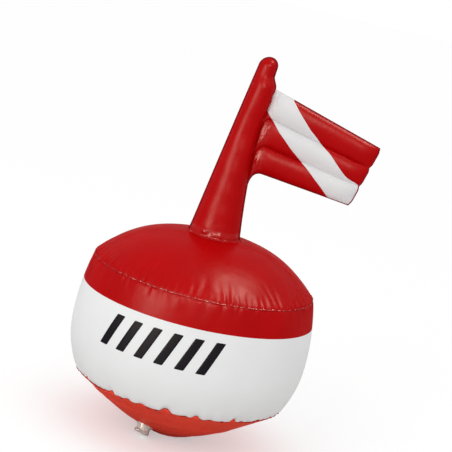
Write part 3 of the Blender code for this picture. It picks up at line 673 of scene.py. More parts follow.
# the skirt round the mast's base: distance out as a share of its lip, and height as a share of its
# ridge, or of the film's height over the dome where it is below 0
SKIRT = [(0.2, 0.0), (0.4, 0.5), (0.62, 0.5), (0.8, 0.0), (1.0, 0.0), (1.0, -1.0)]
WELD_RINGS = (1, 2, 3)  # the skirt's rings whose lumps are glossier weld film
SHEET_PAINTS = [RED, LIP_RED, WELD_RED, FLAG_WHITE, PRESSED_RED]
PLAIN, LIP, WELD, WHITE_LIP, PRESSED = range(5)


def through_three(position, middle, low_value, middle_value, high_value):
    steep = (middle_value - low_value) / middle
    bend = ((high_value - low_value) - steep) / (1 - middle)
    return low_value + steep * position + bend * position * (position - middle)


def mast_section(height):
    """Where the mast's middle lies at a height, and its half width."""
    share = (height - DOME_TOP) / (MAST_HEIGHT - MAST_TOP_RADIUS)
    middle = MAST_MIDDLE_HEIGHT / (MAST_HEIGHT - MAST_TOP_RADIUS)
    centre = through_three(share, middle, 0.0, MAST_MIDDLE_LEAN, MAST_TOP_LEAN)
    width = through_three(share, middle, MAST_BASE_RADIUS, MAST_MIDDLE_RADIUS, MAST_TOP_RADIUS)
    cap = (height - (MAST_TIP - MAST_TOP_RADIUS)) / MAST_TOP_RADIUS
    if cap > 0:
        width = MAST_TOP_RADIUS * math.sqrt(max(0.0, 1 - cap * cap))
    reach = CORNER_PULL_ABOVE if height > FLAG_TOP else CORNER_PULL_BELOW
    pull = CORNER_PULL * max(0.0, 1 - ((height - FLAG_TOP) / reach) ** 2) ** 2
    return centre + pull / 2, width + pull / 2


def mast_edge(height):
    centre, width = mast_section(height)
    return Vector((centre + width, height))


def drooping(angle):
    return Vector((math.cos(angle), -math.sin(angle)))


def flag_corners():
    hoist_top = mast_edge(FLAG_TOP)
    hoist_bottom = mast_edge(FLAG_BOTTOM)
    fly_top = hoist_top + FLAG_TOP_LENGTH * drooping(FLAG_TOP_DROOP)
    fillet = hoist_bottom + Vector((FLAG_FILLET_WIDTH, FLAG_FILLET_HEIGHT))
    fly_bottom = fillet + FLAG_BOTTOM_LENGTH * drooping(FLAG_BOTTOM_DROOP)
    return hoist_top, fly_top, fly_bottom, fillet, hoist_bottom


CORNERS = flag_corners()


def flag_point(along, up):
    """A point of the flag's plane, from shares of the way along and up it."""
    hoist_top, fly_top, fly_bottom, fillet, hoist_bottom = CORNERS
    top = hoist_top.lerp(fly_top, along)
    turn = (fillet.x - hoist_bottom.x) / (fly_bottom.x - hoist_bottom.x)
    if along < turn:
        corner = Vector((hoist_bottom.x + 0.1 * FLAG_FILLET_WIDTH, fillet.y))
        bottom = curve(hoist_bottom, corner, fillet, along / turn)
    else:
        bottom = fillet.lerp(fly_bottom, (along - turn) / (1 - turn))
    hoist = mast_edge(FLAG_BOTTOM + FLAG_HOIST * up)
    crease = math.cos(math.pi * FLAG_CHANNELS * up) ** 12 if 0 < up < 1 else 0.0
    fly = fly_bottom.lerp(fly_top, up) - Vector((FLY_NOTCH * crease, 0))
    corners = hoist_bottom.lerp(hoist_top, up).lerp(fly_bottom.lerp(fly_top, up), along)
    return bottom.lerp(top, up) + hoist.lerp(fly, along) - corners


def flag_swell(along, up, length):
    """How thick half a channel is, where the flag has this length."""
    height = (flag_point(along, 1) - flag_point(along, 0)).length
    place = (FLAG_CHANNELS * up) % 1.0
    bulge = max(0.0, 1 - (2 * place - 1) ** 2) ** 0.62
    ends = 1.0
    for distance, power in ((along * length, 0.85), ((1 - along) * length, 0.58)):
        closing = min(max(distance - WELD_EDGE, 0.0) / CHANNEL_END, 1.0)
        ends *= (1 - (1 - closing) ** 2) ** power
    return CHANNEL_FULLNESS * height / (2 * FLAG_CHANNELS) * bulge * ends


def crinkle(distance, place, seed, pitch, depth, reach):
    """Small folds across a weld, at a place along it and a distance from it."""
    if distance > reach:
        return 0.0
    wave = math.sin(place * 2 * math.pi / pitch + seed + 2.2 * math.sin(place * 55 + seed))
    wave *= 0.6 + 0.4 * math.sin(place * 2 * math.pi / (pitch * 2.7) + 2 * seed)
    return depth * wave * (1 - distance / reach) ** 1.3 * min(distance / 0.0015, 1.0)


def hoist_ridge(from_hoist, place, seed):
    """Two wavy ridges that run beside the hoist weld."""
    total = 0.0
    for k, (middle, depth) in enumerate(((0.0040, 0.0015), (0.0100, 0.0012))):
        path = middle + 0.0011 * math.sin(place * 190 + seed + k) + 0.0007 * math.sin(place * 417 + 3 * seed)
        strength = 0.55 + 0.45 * math.sin(place * 260 + 2 * seed + 2 * k)
        total += depth * strength * math.exp(-((from_hoist - path) / 0.0012) ** 2)
    return total


def base_puckers(turn, rise):
    total = 0.0
    for angle, height, depth, size in BASE_PUCKERS:
        across = (turn - math.radians(angle)) * MAST_BASE_RADIUS
        total += depth * math.exp(-((across / size) ** 2 + ((rise - height) / (0.8 * size)) ** 2))
    return total


def foot_level(turn, share):
    """Height of the mast's film at a share of the way from the dome up to the flag."""
    centre, width = mast_section(DOME_TOP)
    foot = Vector((centre - width * math.cos(turn), width * math.sin(turn) + PLANE))
    base = dome_height(foot.length) + GAP + FILM
    return base + (FLAG_BOTTOM - base) * share


def mast_point(turn, level, seed):
    """A point of the mast's outer face, with its folds. The turn runs from the left to the hoist."""
    centre, width = mast_section(level)
    fold = 0.0
    if FLAG_BOTTOM - 0.01 < level < FLAG_TOP + 0.005:
        fold = crinkle(width * (math.pi - turn), level, seed, 0.0072, 0.0013, 0.012)
    low = level - DOME_TOP
    if low < BASE_FOLDS:
        fold += crinkle(max(low, 0.0), width * turn, seed + 1, 0.0105, 0.0005, BASE_FOLDS)
        fold += base_puckers(turn, low)
    sway = math.sin(level * 91 + 2.1 * turn + seed) * math.sin(level * 143 - 1.3 * turn + 2 * seed)
    fold += 0.00045 * sway * math.sin(turn) * min(max(low, 0.0) / 0.02, 1.0)
    out = Vector((-math.cos(turn), -math.sin(turn)))
    return (centre + (width + fold) * out.x, (width + fold) * out.y - PLANE, level)


def mast_rows(seed):
    """Rows of points round the front of the mast, from the dome up to its rounded tip."""
    turns = [math.pi * k / MAST_COLUMNS for k in range(MAST_COLUMNS + 1)]
    rows = []
    for k in range(FOOT_ROWS):
        rows.append([mast_point(turn, foot_level(turn, k / FOOT_ROWS), seed) for turn in turns])
    neck = MAST_TIP - MAST_TOP_RADIUS
    levels = [FLAG_BOTTOM + FLAG_HOIST * up for up in CHANNEL_STEPS]
    levels += [FLAG_TOP + (neck - FLAG_TOP) * k / NECK_ROWS for k in range(1, NECK_ROWS + 1)]
    levels += [neck + MAST_TOP_RADIUS * math.sin(math.pi / 2 * k / TIP_ROWS) for k in range(1, TIP_ROWS)]
    rows += [[mast_point(turn, level, seed) for turn in turns] for level in levels]
    return rows


def channel_film(point, along, up, length, seed):
    """How far the front sheet stands off the flag's plane: a channel's swell and its small folds."""
    swell = flag_swell(along, up, length)
    if swell <= 0:
        return swell
    share = min(swell / FULL_SWELL, 1.0)
    rise = up * FLAG_HOIST
    from_hoist = along * length
    place = (FLAG_CHANNELS * up) % 1.0
    from_weld = min(place, 1 - place) * (FLAG_HOIST / FLAG_CHANNELS)
    swell += crinkle(from_hoist, rise, seed + 2, 0.0068, 0.0014, 0.018) * share
    swell += crinkle((1 - along) * length, rise, seed + 3, 0.0085, 0.0007, 0.012) * share
    swell += hoist_ridge(from_hoist, rise, seed) * share
    swell += crinkle(from_weld, from_hoist, seed + 4 + int(FLAG_CHANNELS * up), 0.0125, 0.0006, 0.008) * share
    swell += 0.0006 * share * math.sin(point.x * 61 + point.y * 37 + seed) * math.sin(point.y * 83 - seed)
    return max(swell, 0.0)


def flag_rows(seed):
    """Rows of points of the flag's front, from beside the hoist to the fly."""
    rows = []
    for up in CHANNEL_STEPS:
        row = []
        length = (flag_point(1, up) - flag_point(0, up)).length
        for along in FLAG_STATIONS[1:]:
            point = flag_point(along, up)
            row.append((point.x, -PLANE - channel_film(point, along, up, length, seed), point.y))
        rows.append(row)
    return rows


def lip_point(before, at, after, reach):
    """A point beside an edge, a distance out from it in the flag's plane."""
    run = Vector((after[0] - before[0], after[2] - before[2])).normalized()
    return (at[0] - run.y * reach, at[1], at[2] + run.x * reach)


def on_the_dome(point, reach, lift):
    """The place on the dome that lies a distance out from a point of the mast's base."""
    flat = Vector((point[0], 0 if abs(point[1]) < FILM + GAP else point[1]))
    moved = Vector((point[0], point[1])) + flat.normalized() * reach
    return (moved.x, moved.y, dome_height(moved.length) + lift)


def on_stripe_top(point):
    """Whether a point lies on the flag's top edge where the stripe reaches it."""
    run = Vector((point[0], point[2])) - CORNERS[0]
    top = (CORNERS[1] - CORNERS[0]).normalized()
    return abs(run.cross(top)) < 0.0005 and 0.0005 < run.dot(top) < STRIPE_TOP_START


def sheet_faces(points, mast, grid, tip):
    """Faces of the mast and the flag, pressed and glossier beside their welds."""
    cap = [(mast[-1][k], mast[-1][k + 1], tip) for k in range(MAST_COLUMNS)]
    marks = []
    for row in mast[:-1]:
        level = points[row[0]][2]
        low = level < DOME_TOP + BASE_WELD
        hoist = MAST_COLUMNS - (HOIST_COLUMNS if FLAG_BOTTOM < level < FLAG_TOP else 0)
        marks += [PRESSED if low or k >= hoist else PLAIN for k in range(MAST_COLUMNS)]
    marks += [PLAIN] * len(cap)
    for row in grid[:-1]:
        edge = points[row[0]][0] + HOIST_WELD
        marks += [PRESSED if points[at][0] < edge else PLAIN for at in row[:-1]]
    return row_faces(mast) + cap + row_faces(grid), marks


def sheet_outline(mast, grid, tip):
    """The sheet's free edge: up the left, over the tip, round the flag and down to the dome."""
    left = [row[0] for row in mast]
    above = [row[-1] for row in reversed(mast[FOOT_ROWS + FLAG_ROWS:])]
    below = [row[-1] for row in reversed(mast[:FOOT_ROWS])]
    fly = [row[-1] for row in reversed(grid[:-1])]
    return left + [tip] + above + grid[-1][1:] + fly + grid[0][-2::-1] + below


def add_lip(points, outline):
    """The weld lip along the sheet's free edge: out, and back to the other sheet."""
    rings = [outline]
    for reach, lift in ((0.25, 0.0), (1.0, 0.0), (1.0, PLANE - 0.00005)):
        ring = []
        for k, at in enumerate(outline):
            if k in (0, len(outline) - 1):
                out = on_the_dome(points[at], MAST_BASE_LIP * reach, GAP + FILM - lift)
            else:
                beside = points[outline[k - 1]], points[at], points[outline[k + 1]]
                out = lip_point(*beside, EDGE_LIP * reach)
            ring.append((out[0], out[1] + lift, out[2]))
        rings.append(add_points(points, ring))
    paints = [WHITE_LIP if on_stripe_top(points[at]) else LIP for at in outline[:-1]]
    return row_faces(rings), paints * (len(rings) - 1)


def add_skirt(points, base, seed):
    """The sheet's foot, which spreads out over the dome with a puckered ridge."""
    lumps = [math.sin(k * 1.9 + seed) * math.sin(k * 0.7 + 2 * seed) for k in range(len(base))]
    rings = [base]
    for reach, lift in SKIRT:
        ring = []
        for at, lump in zip(base, lumps):
            ridge = 0.0010 * (1 + 0.6 * lump) if lift > 0 else GAP + FILM
            ring.append(on_the_dome(points[at], MAST_BASE_LIP * reach, GAP + FILM + lift * ridge))
        rings.append(add_points(points, ring))
    marks = []
    for level in reversed(range(len(SKIRT))):
        marks += [WELD if level in WELD_RINGS and lump > 0.15 else PLAIN for lump in lumps[:-1]]
    return row_faces(rings[::-1]), marks


def make_sheet(name, node, back, seed):
    """Mast and flag, cut in one piece, with the weld lips round them."""
    points = []
    mast = [add_points(points, row) for row in mast_rows(seed)]
    grid = [[mast[FOOT_ROWS + k][-1]] + add_points(points, row) for k, row in enumerate(flag_rows(seed))]
    tip = add_points(points, [(mast_section(MAST_TIP)[0], -PLANE, MAST_TIP)])[0]
    faces, marks = sheet_faces(points, mast, grid, tip)
    lip, lip_marks = add_lip(points, sheet_outline(mast, grid, tip))
    skirt, skirt_marks = add_skirt(points, mast[0], seed)
    faces += lip + skirt
    marks += lip_marks + skirt_marks
    if back:
        points = [(x, -y, z) for x, y, z in points]
        faces = [tuple(reversed(f)) for f in faces]
    return piece(name, "buoy", [node], points, faces, SHEET_PAINTS, marks)


front_sheet = make_sheet("front_sheet_film", "mast_flag_front", False, 0.7)
back_sheet = make_sheet("back_sheet_film", "mast_flag_back", True, 2.9)


# the stripe
HOIST_CUT = 2  # cuts 0 and 1 make the stripe's upper and lower edge
# how far those two stray outwards from their straight lines: (place, distance) in mm
STRIPE_EDGES = [
    [(0, 0.4), (16, -1.5), (37, -3.3), (66, -2.7), (84, -0.8), (105, -2.1), (118, -0.7), (130, 4.9)],
    [(0, 0.0), (19, 1.7), (33, 2.7), (59, 2.3), (89, 0.0), (105, -0.8), (123, -1.2), (130, -1.4)],
]
STRIPE_LIFT = 0.00042  # the stripe's film over the sheet
STRIPE_EDGE_LIFT = 0.00012


def stripe_lines():
    """The straight lines that cut the stripe: start, run and the normal towards the stripe."""
    hoist_top, fly_top, fly_bottom, fillet, _ = CORNERS
    top_run = (fly_top - hoist_top).normalized()
    bottom_run = (fillet - fly_bottom).normalized()
    fly_run = (fly_top - fly_bottom).normalized()
    upper = (hoist_top + STRIPE_TOP_START * top_run, fly_bottom + STRIPE_FLY_RISE * fly_run)
    hoist_low = mast_edge(FLAG_TOP - STRIPE_HOIST_DROP)
    lower = (hoist_low, fly_bottom + STRIPE_BOTTOM_END * bottom_run)
    cuts = []
    for (start, end), inside in ((upper, hoist_low), (lower, fly_top), ((hoist_low, hoist_top), fly_top)):
        run = (end - start).normalized()
        normal = Vector((-run.y, run.x))
        if normal.dot(inside - start) < 0:
            normal = -normal
        cuts.append((start, run, normal))
    start, run, normal = cuts[HOIST_CUT]
    cuts[HOIST_CUT] = (start + normal * (FILM + GAP), run, normal)
    return cuts


def edge_wave(cut, along):
    """How far a stripe's edge strays from its line, in metres."""
    if cut == HOIST_CUT:
        return 0.0004 * math.sin(along * 420)
    place, stray = zip(*STRIPE_EDGES[cut])
    smooth = sum(np.interp(along * 1000 + step, place, stray) for step in (-5, -2.5, 0, 2.5, 5)) / 5
    return smooth / 1000 + 0.00015 * math.sin(along * 260)


def bend_edge(mesh, cut, line, sign):
    """Moves points by the waves of a stripe's edge, so that a straight cut between two bends is wavy."""
    start, run, normal = line
    for v in mesh.verts:
        shift = sign * edge_wave(cut, (Vector((v.co.x, v.co.z)) - start).dot(run))
        v.co.x += normal.x * shift
        v.co.z += normal.y * shift


def mirror(mesh):
    """Moves a sheet to the other side of the flag's plane."""
    for v in mesh.verts:
        v.co.y = -v.co.y
    bmesh.ops.reverse_faces(mesh, faces=mesh.faces)


def make_stripe(name, node, sheet, back):
    """White film over the sheet's face, cut by the stripe's wavy edges."""
    mesh = bmesh.new()
    mesh.from_mesh(sheet.data)
    if back:
        mirror(mesh)
    low = FLAG_BOTTOM - 0.002
    drop = [f for f in mesh.faces if f.material_index in (LIP, WHITE_LIP) or f.calc_center_median().z < low]
    bmesh.ops.delete(mesh, geom=drop, context="FACES")
    bmesh.ops.triangulate(mesh, faces=mesh.faces)
    for cut, line in enumerate(stripe_lines()):
        start, _, normal = line
        bend_edge(mesh, cut, line, 1)
        bmesh.ops.bisect_plane(
            mesh, geom=list(mesh.verts) + list(mesh.edges) + list(mesh.faces),
            plane_co=(start.x, 0, start.y), plane_no=(normal.x, 0, normal.y), clear_inner=True,
        )
        bend_edge(mesh, cut, line, -1)
    bmesh.ops.delete(mesh, geom=[v for v in mesh.verts if not v.link_faces], context="VERTS")
    mesh.normal_update()
    for v in mesh.verts:
        v.co += v.normal * (STRIPE_EDGE_LIFT if v.is_boundary else STRIPE_LIFT)
    if back:
        mirror(mesh)
    mesh.verts.index_update()
    points = [v.co[:] for v in mesh.verts]
    faces = [tuple(v.index for v in f.verts) for f in mesh.faces]
    mesh.free()
    piece(name, "buoy", [node], points, faces, [FLAG_WHITE])


make_stripe("front_stripe_film", "flag_stripe_front", front_sheet, False)
make_stripe("back_stripe_film", "flag_stripe_back", back_sheet, True)


# the print
PRINT_BARS = 6
PRINT_ROWS = 30
PRINT_COLUMNS = 6
PRINT_LEFT = math.radians(-43)
PRINT_RIGHT = math.radians(17)
PRINT_LOW = -0.008
PRINT_HIGH = 0.033
PRINT_BAR_WIDTH = 0.0115
PRINT_SLANT = 0.42  # sideways over upwards
PRINT_CORNER = 0.0012
PRINT_THICKNESS = 0.00012


def on_side(angle, height, lift):
    """A point over the side film, at an angle from the front and a height over the equator."""
    radius = float(band_radius(height))
    place = np.array([[radius * math.sin(angle), -radius * math.cos(angle), EQUATOR + height]])
    rise = lift - WAVE_DEPTH * float(waves(place, SIDE_SEED, WAVE_SCALE)[0])
    step = 0.0005
    slope = float(band_radius(height + step) - band_radius(height - step)) / (2 * step)
    length = math.hypot(1, slope)
    out = radius + rise / length
    return (out * math.sin(angle), -out * math.cos(angle), EQUATOR + height - rise * slope / length)


def make_print():
    """A plain row of slanted bars printed on the side: no word or sign."""
    points, faces = [], []
    height = PRINT_HIGH - PRINT_LOW
    slant = PRINT_SLANT * height / BALL_RADIUS
    width = PRINT_BAR_WIDTH / BALL_RADIUS
    pitch = (PRINT_RIGHT - PRINT_LEFT - slant - width) / (PRINT_BARS - 1)
    for bar in range(PRINT_BARS):
        rows = []
        for k in range(PRINT_ROWS + 1):
            up = eased(k, PRINT_ROWS)
            level = PRINT_LOW + height * up
            edge = max(0.0, PRINT_CORNER - min(level - PRINT_LOW, PRINT_HIGH - level))
            inset = (PRINT_CORNER - math.sqrt(max(0.0, PRINT_CORNER**2 - edge**2))) / BALL_RADIUS
            left = PRINT_LEFT + bar * pitch + slant * up + inset
            right = PRINT_LEFT + bar * pitch + slant * up + width - inset
            across = [left + (right - left) * j / PRINT_COLUMNS for j in range(PRINT_COLUMNS + 1)]
            row = [on_side(left, level, -PRINT_THICKNESS)]
            row += [on_side(angle, level, PRINT_THICKNESS) for angle in across]
            row += [on_side(right, level, -PRINT_THICKNESS)]
            rows.append(add_points(points, row))
        faces += row_faces(rows)
    piece("side_print", "buoy", [], points, faces, [INK])


make_print()


# turned pieces
CORNER_STEPS = 4  # straight steps round a rounded corner
TINY = 1e-9


def rounded(profile, radius):
    """Rounds the corners of a closed outline of (r, z) points."""
    made = []
    count = len(profile)
    for k in range(count):
        at = Vector(profile[k])
        back = Vector(profile[k - 1]) - at
        on = Vector(profile[(k + 1) % count]) - at
        if profile[k][0] <= TINY or back.length < TINY or on.length < TINY:
            made.append(tuple(at))
            continue
        reach = min(radius, back.length * 0.45, on.length * 0.45)
        start = at + back.normalized() * reach
        end = at + on.normalized() * reach
        made += [tuple(curve(start, at, end, j / CORNER_STEPS)) for j in range(CORNER_STEPS + 1)]
    return made


def turned(profile, segments):
    """Turns a closed outline about Z into points and faces. Radius 0 makes a pole."""
    points, rings = [], []
    turns = [2 * math.pi * k / segments for k in range(segments)]
    for radius, height in profile:
        ring = [(radius * math.cos(turn), radius * math.sin(turn), height) for turn in turns]
        rings.append(add_points(points, ring if radius > TINY else [(0, 0, height)]))
    return points, ring_faces(rings + rings[:1])


def block(outline, half_width, first):
    """A closed block whose (x, z) outline runs anticlockwise seen from -Y, numbered from first."""
    count = len(outline)
    points = [(x, -half_width, z) for x, z in outline] + [(x, half_width, z) for x, z in outline]
    faces = [tuple(first + k for k in range(count)), tuple(first + count + k for k in reversed(range(count)))]
    for k in range(count):
        after = (k + 1) % count
        faces.append((first + after, first + k, first + count + k, first + count + after))
    return points, faces


def turned_piece(name, body, node, paint, place, profile, corner, segments=64, hinge=None):
    """A turned piece with rounded corners, and a block for its hinge: (outline, width)."""
    points, faces = turned(rounded(profile, corner), segments)
    if hinge:
        outline, width = hinge
        more, sides = block(outline, width / 2, len(points))
        points += more
        faces += sides
    points = [tuple(place @ Vector(p)) for p in points]
    piece(name, body, [node], points, faces, [paint])


# the valve, in its own axes
STEM_BEAD_TOP = -COLLAR_DEPTH - GAP
STEM_END = STEM_BEAD_TOP - STEM_BEAD_HEIGHT
PLUG_LOW = STEM_STAND + GAP
PLUG_HIGH = PLUG_LOW + PLUG_THICKNESS
PLUG_DISH = 0.0005  # depth of the hollow in the stopper's top
PLUG_DISH_RADIUS = 0.0052
PLUG_RIM_RADIUS = 0.0060
BARREL_STEPS = 12


def make_collar():
    """The flange, welded on inside and bent like the bowl, with the collar that holds the tube."""
    slope = bowl_slope(VALVE_FROM_AXIS)
    bowl_bend = VALVE_FROM_AXIS * math.sqrt(1 + slope * slope) / slope

    def under(out):
        return -(FILM + 2 * GAP) - out * out / (2 * bowl_bend)

    profile = [
        (COLLAR_BORE, COLLAR_STAND), (COLLAR_RADIUS, COLLAR_STAND), (COLLAR_RADIUS, under(COLLAR_RADIUS)),
        (VALVE_FLANGE_RADIUS, under(VALVE_FLANGE_RADIUS)),
        (VALVE_FLANGE_RADIUS, under(VALVE_FLANGE_RADIUS) - VALVE_FLANGE_THICKNESS),
        (COLLAR_RADIUS, under(COLLAR_RADIUS) - VALVE_FLANGE_THICKNESS),
        (COLLAR_RADIUS, -COLLAR_DEPTH), (COLLAR_BORE, -COLLAR_DEPTH),
    ]
    turned_piece("valve_collar", "buoy", "valve_flange", CLEAR, VALVE, profile, 0.0004)


def make_tube():
    """The tube that slides in the collar, with a lip, a bead and the block behind its hinge."""
    lip = STEM_RADIUS + STEM_LIP
    lip_low = STEM_STAND - STEM_LIP_HEIGHT
    profile = [
        (STEM_BORE, STEM_STAND), (lip, STEM_STAND), (lip, lip_low), (STEM_RADIUS, lip_low),
        (STEM_RADIUS, STEM_BEAD_TOP), (lip, STEM_BEAD_TOP), (lip, STEM_END), (STEM_BORE, STEM_END),
    ]
    reach = HINGE_OFFSET + HINGE_BARREL + GAP
    inner = (STEM_BORE + STEM_RADIUS) / 2
    low = lip_low + 0.0002
    high = STEM_STAND - 0.0001
    bevel = 0.0004
    outline = [
        (-reach + bevel, low), (-inner, low), (-inner, high),
        (-reach + bevel, high), (-reach, high - bevel), (-reach, low + bevel),
    ]
    hinge = outline, HINGE_WIDTH + 2 * GAP
    turned_piece("valve_tube", "stem", "valve_stem", CLEAR, VALVE, profile, 0.0005, hinge=hinge)


def make_stopper():
    """The stopper with its peg, and the strap that ends in the hinge's barrel."""
    peg_end = PLUG_LOW - PLUG_PEG_LENGTH - GAP
    profile = [
        (0, PLUG_HIGH - PLUG_DISH), (PLUG_DISH_RADIUS, PLUG_HIGH - PLUG_DISH), (PLUG_RIM_RADIUS, PLUG_HIGH),
        (PLUG_RADIUS, PLUG_HIGH), (PLUG_RADIUS, PLUG_LOW), (PLUG_PEG_ROOT, PLUG_LOW),
        (PLUG_PEG_TIP, peg_end), (0, peg_end),
    ]
    inner = -PLUG_RADIUS + 0.002
    outline = [(inner, PLUG_LOW + 0.0002), (inner, PLUG_LOW + 0.0013)]
    for k in range(BARREL_STEPS + 1):
        turn = math.pi / 2 + math.pi * k / BARREL_STEPS
        side = -HINGE_OFFSET + HINGE_BARREL * math.cos(turn)
        outline.append((side, PLUG_LOW + HINGE_BARREL + HINGE_BARREL * math.sin(turn)))
    hinge = outline, HINGE_WIDTH
    turned_piece(
        "valve_stopper", "plug", "valve_plug", CLEAR, VALVE, profile, 0.0005, 96, hinge
    )


def make_leaf():
    """The one-way flap under the tube's end."""
    top = STEM_END - GAP
    profile = [(0, top), (FLAP_RADIUS, top), (FLAP_RADIUS, top - FLAP_THICKNESS), (0, top - FLAP_THICKNESS)]
    turned_piece("valve_leaf", "flap", "valve_flap", CLEAR, VALVE, profile, 0.0002, 48)


make_collar()
make_tube()
make_stopper()
make_leaf()


# pocket and line tab
WELD_RIDGES = 3.5  # ridges across a weld
POCKET_COLUMNS = 144
POCKET_WELD_STEPS = 24
POCKET_BEND_STEPS = 8
TAB_START = POCKET_WELD_INNER + TAB_WELD_MARGIN
TAB_BEND = POCKET_WELD_INNER + POCKET_WELD_WIDTH + TAB_WELD_MARGIN
TAB_TOP = bowl(TAB_BEND) - 2 * (FILM + GAP)
TAB_COLUMNS = 10
EYE = TAB_REACH - TAB_WIDTH / 2  # the eyelet's middle, along Y
EYE_PLACE = Matrix.Translation((0, EYE, TAB_TOP))
EYE_HOLE = EYELET_BORE + EYELET_WALL + GAP
CUTTER_REACH = 0.004  # how far the hole's cutter goes over and under the tab
TAB_EDGE = 0.0002  # width of the tab's rounded edges
SHARP_ANGLE = math.radians(40)  # edges sharper than this are rounded and shaded sharp


def pocket_profile():
    """From the weld's outer edge over its ridges and round a bend in to the flat foot."""
    outer = POCKET_WELD_INNER + POCKET_WELD_WIDTH
    profile = [(outer, bowl(outer) - GAP)]
    for k in range(POCKET_WELD_STEPS + 1):
        radius = outer - POCKET_WELD_WIDTH * k / POCKET_WELD_STEPS
        ridge = 0.00025 * math.cos(2 * math.pi * WELD_RIDGES * k / POCKET_WELD_STEPS)
        profile.append((radius, bowl(radius) - (FILM + GAP) - max(ridge, -0.0002)))
    start = Vector(profile[-1])
    corner = Vector((POCKET_FOOT_RADIUS + 0.0022, 0.0))
    foot = Vector((POCKET_FOOT_RADIUS - 0.002, 0.0))
    for k in range(1, POCKET_BEND_STEPS + 1):
        profile.append(tuple(curve(start, corner, foot, k / POCKET_BEND_STEPS)))
    return profile + [(radius, 0.0) for radius in (0.018, 0.010, 0.004)]


def make_pocket():
    """The welded round patch under the ball, with small folds where it bends to its foot."""
    points, rings = [], []
    for radius, height in pocket_profile():
        fold = 0.0005 * math.exp(-((radius - 0.0290) / 0.0016) ** 2)
        ring = []
        for k in range(POCKET_COLUMNS):
            turn = 2 * math.pi * k / POCKET_COLUMNS
            out = radius + fold * math.sin(23 * turn + 2 * math.sin(5 * turn))
            ring.append((out * math.cos(turn), out * math.sin(turn), height))
        rings.append(add_points(points, ring))
    rings.append(add_points(points, [(0, 0, 0)]))
    faces = ring_faces(rings)
    piece("ballast_pocket_film", "buoy", ["ballast_pocket"], points, faces, [BOTTOM_RED])


def tab_stations():
    """Places along the tab with its half width: the weld, the straight part and the round end."""
    half = TAB_WIDTH / 2
    stations = [(TAB_START + (TAB_BEND - TAB_START) * k / 14, half) for k in range(15)]
    stations += [(TAB_BEND + (EYE - TAB_BEND) * k / 8, half) for k in range(1, 9)]
    turns = [math.pi / 2 * k / 16 for k in range(1, 16)]
    return stations + [(EYE + half * math.sin(turn), half * math.cos(turn)) for turn in turns]


def tab_height(reach):
    if reach >= TAB_BEND:
        return TAB_TOP
    share = (reach - TAB_START) / (TAB_BEND - TAB_START)
    ridge = 0.00018 * (1 + math.sin(2 * math.pi * WELD_RIDGES * share))
    return bowl(reach) - 2 * (FILM + GAP) - ridge


def eye_cutter():
    profile = [(0, CUTTER_REACH), (EYE_HOLE, CUTTER_REACH), (EYE_HOLE, -CUTTER_REACH), (0, -CUTTER_REACH)]
    points, faces = turned(profile, 48)
    points = [(x, y + EYE, z + TAB_TOP) for x, y, z in points]
    return new_object("eye_cutter", new_mesh("eye_cutter", points, faces))


def make_tab():
    """The line tab: thick film with a rounded end, its weld's ridges and the eyelet's hole."""
    points, rows = [], []
    for reach, width in tab_stations():
        row = [(width * (2 * k / TAB_COLUMNS - 1), reach, tab_height(reach)) for k in range(TAB_COLUMNS + 1)]
        rows.append(add_points(points, row))
    made = new_object("line_tab_film", new_mesh("line_tab_film", points, row_faces(rows)))
    thick = made.modifiers.new("Film", "SOLIDIFY")
    thick.thickness = TAB_THICKNESS
    thick.offset = -1
    cutter = eye_cutter()
    cut = made.modifiers.new("Eye", "BOOLEAN")
    cut.object = cutter
    cut.operation = "DIFFERENCE"
    cut.solver = "EXACT"
    edges = made.modifiers.new("Edges", "BEVEL")
    edges.width = TAB_EDGE
    edges.segments = 2
    edges.limit_method = "ANGLE"
    edges.angle_limit = SHARP_ANGLE
    ready = bpy.data.meshes.new_from_object(made.evaluated_get(bpy.context.evaluated_depsgraph_get()))
    made.modifiers.clear()
    made.data = ready
    bpy.data.objects.remove(cutter)
    ready.materials.clear()
    ready.materials.append(BOTTOM_RED)
    ready.polygons.foreach_set("use_smooth", [True] * len(ready.polygons))
    ready.set_sharp_from_angle(angle=SHARP_ANGLE)
    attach(made, "buoy")
    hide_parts("line_tab")


def make_eyelet():
    """The brass eyelet, with its collar under the tab and rolled over the washer on top."""
    wall = EYELET_BORE + EYELET_WALL
    collar = wall + EYELET_COLLAR
    roll = wall + EYELET_COLLAR / 2
    under = -TAB_THICKNESS - GAP
    over = 2 * GAP + EYELET_SHEET
    profile = [
        (EYELET_BORE, over + 0.6 * EYELET_SHEET), (wall, over + EYELET_SHEET),
        (roll, over + 0.6 * EYELET_SHEET), (roll, over), (wall, over), (wall, under), (collar, under),
        (collar, under - 0.5 * EYELET_SHEET), (wall, under - EYELET_SHEET),
        (EYELET_BORE, under - 0.5 * EYELET_SHEET),
    ]
    turned_piece("brass_eyelet", "buoy", "line_eyelet", BRASS, EYE_PLACE, profile, 0.0004)
    high = GAP + EYELET_SHEET
    profile = [(EYE_HOLE, high), (collar, high), (collar, GAP), (EYE_HOLE, GAP)]
    turned_piece("brass_washer", "buoy", "eyelet_washer", BRASS, EYE_PLACE, profile, 0.0002)


make_pocket()
make_tab()
make_eyelet()

for weight_slot in frame["nodes"]["ballast_weight"].material_slots:
    weight_slot.material = LEAD


# stage, lights and camera
FLOOR_SIZE = 60
FLOOR_DROP = 0.0002  # the floor lies this far under the foot
FLOOR_GREY = 0.62
FLOOR_GLOW = 0.43  # light that the floor gives off where the camera sees it
SKY = 0.90  # strength of the white room for the light it gives, which is 1 where it is seen
LIGHT_AIM = 0.2  # height of the point that the lights face
GLOSS_TINT = (1, 0.83, 0.70)
CAMERA_PLACE = (-0.000429, -1.655692, 0.574676)
CAMERA_TURN = (1.386827, -0.231709, 0.035225)
CAMERA_LENS = 107.438


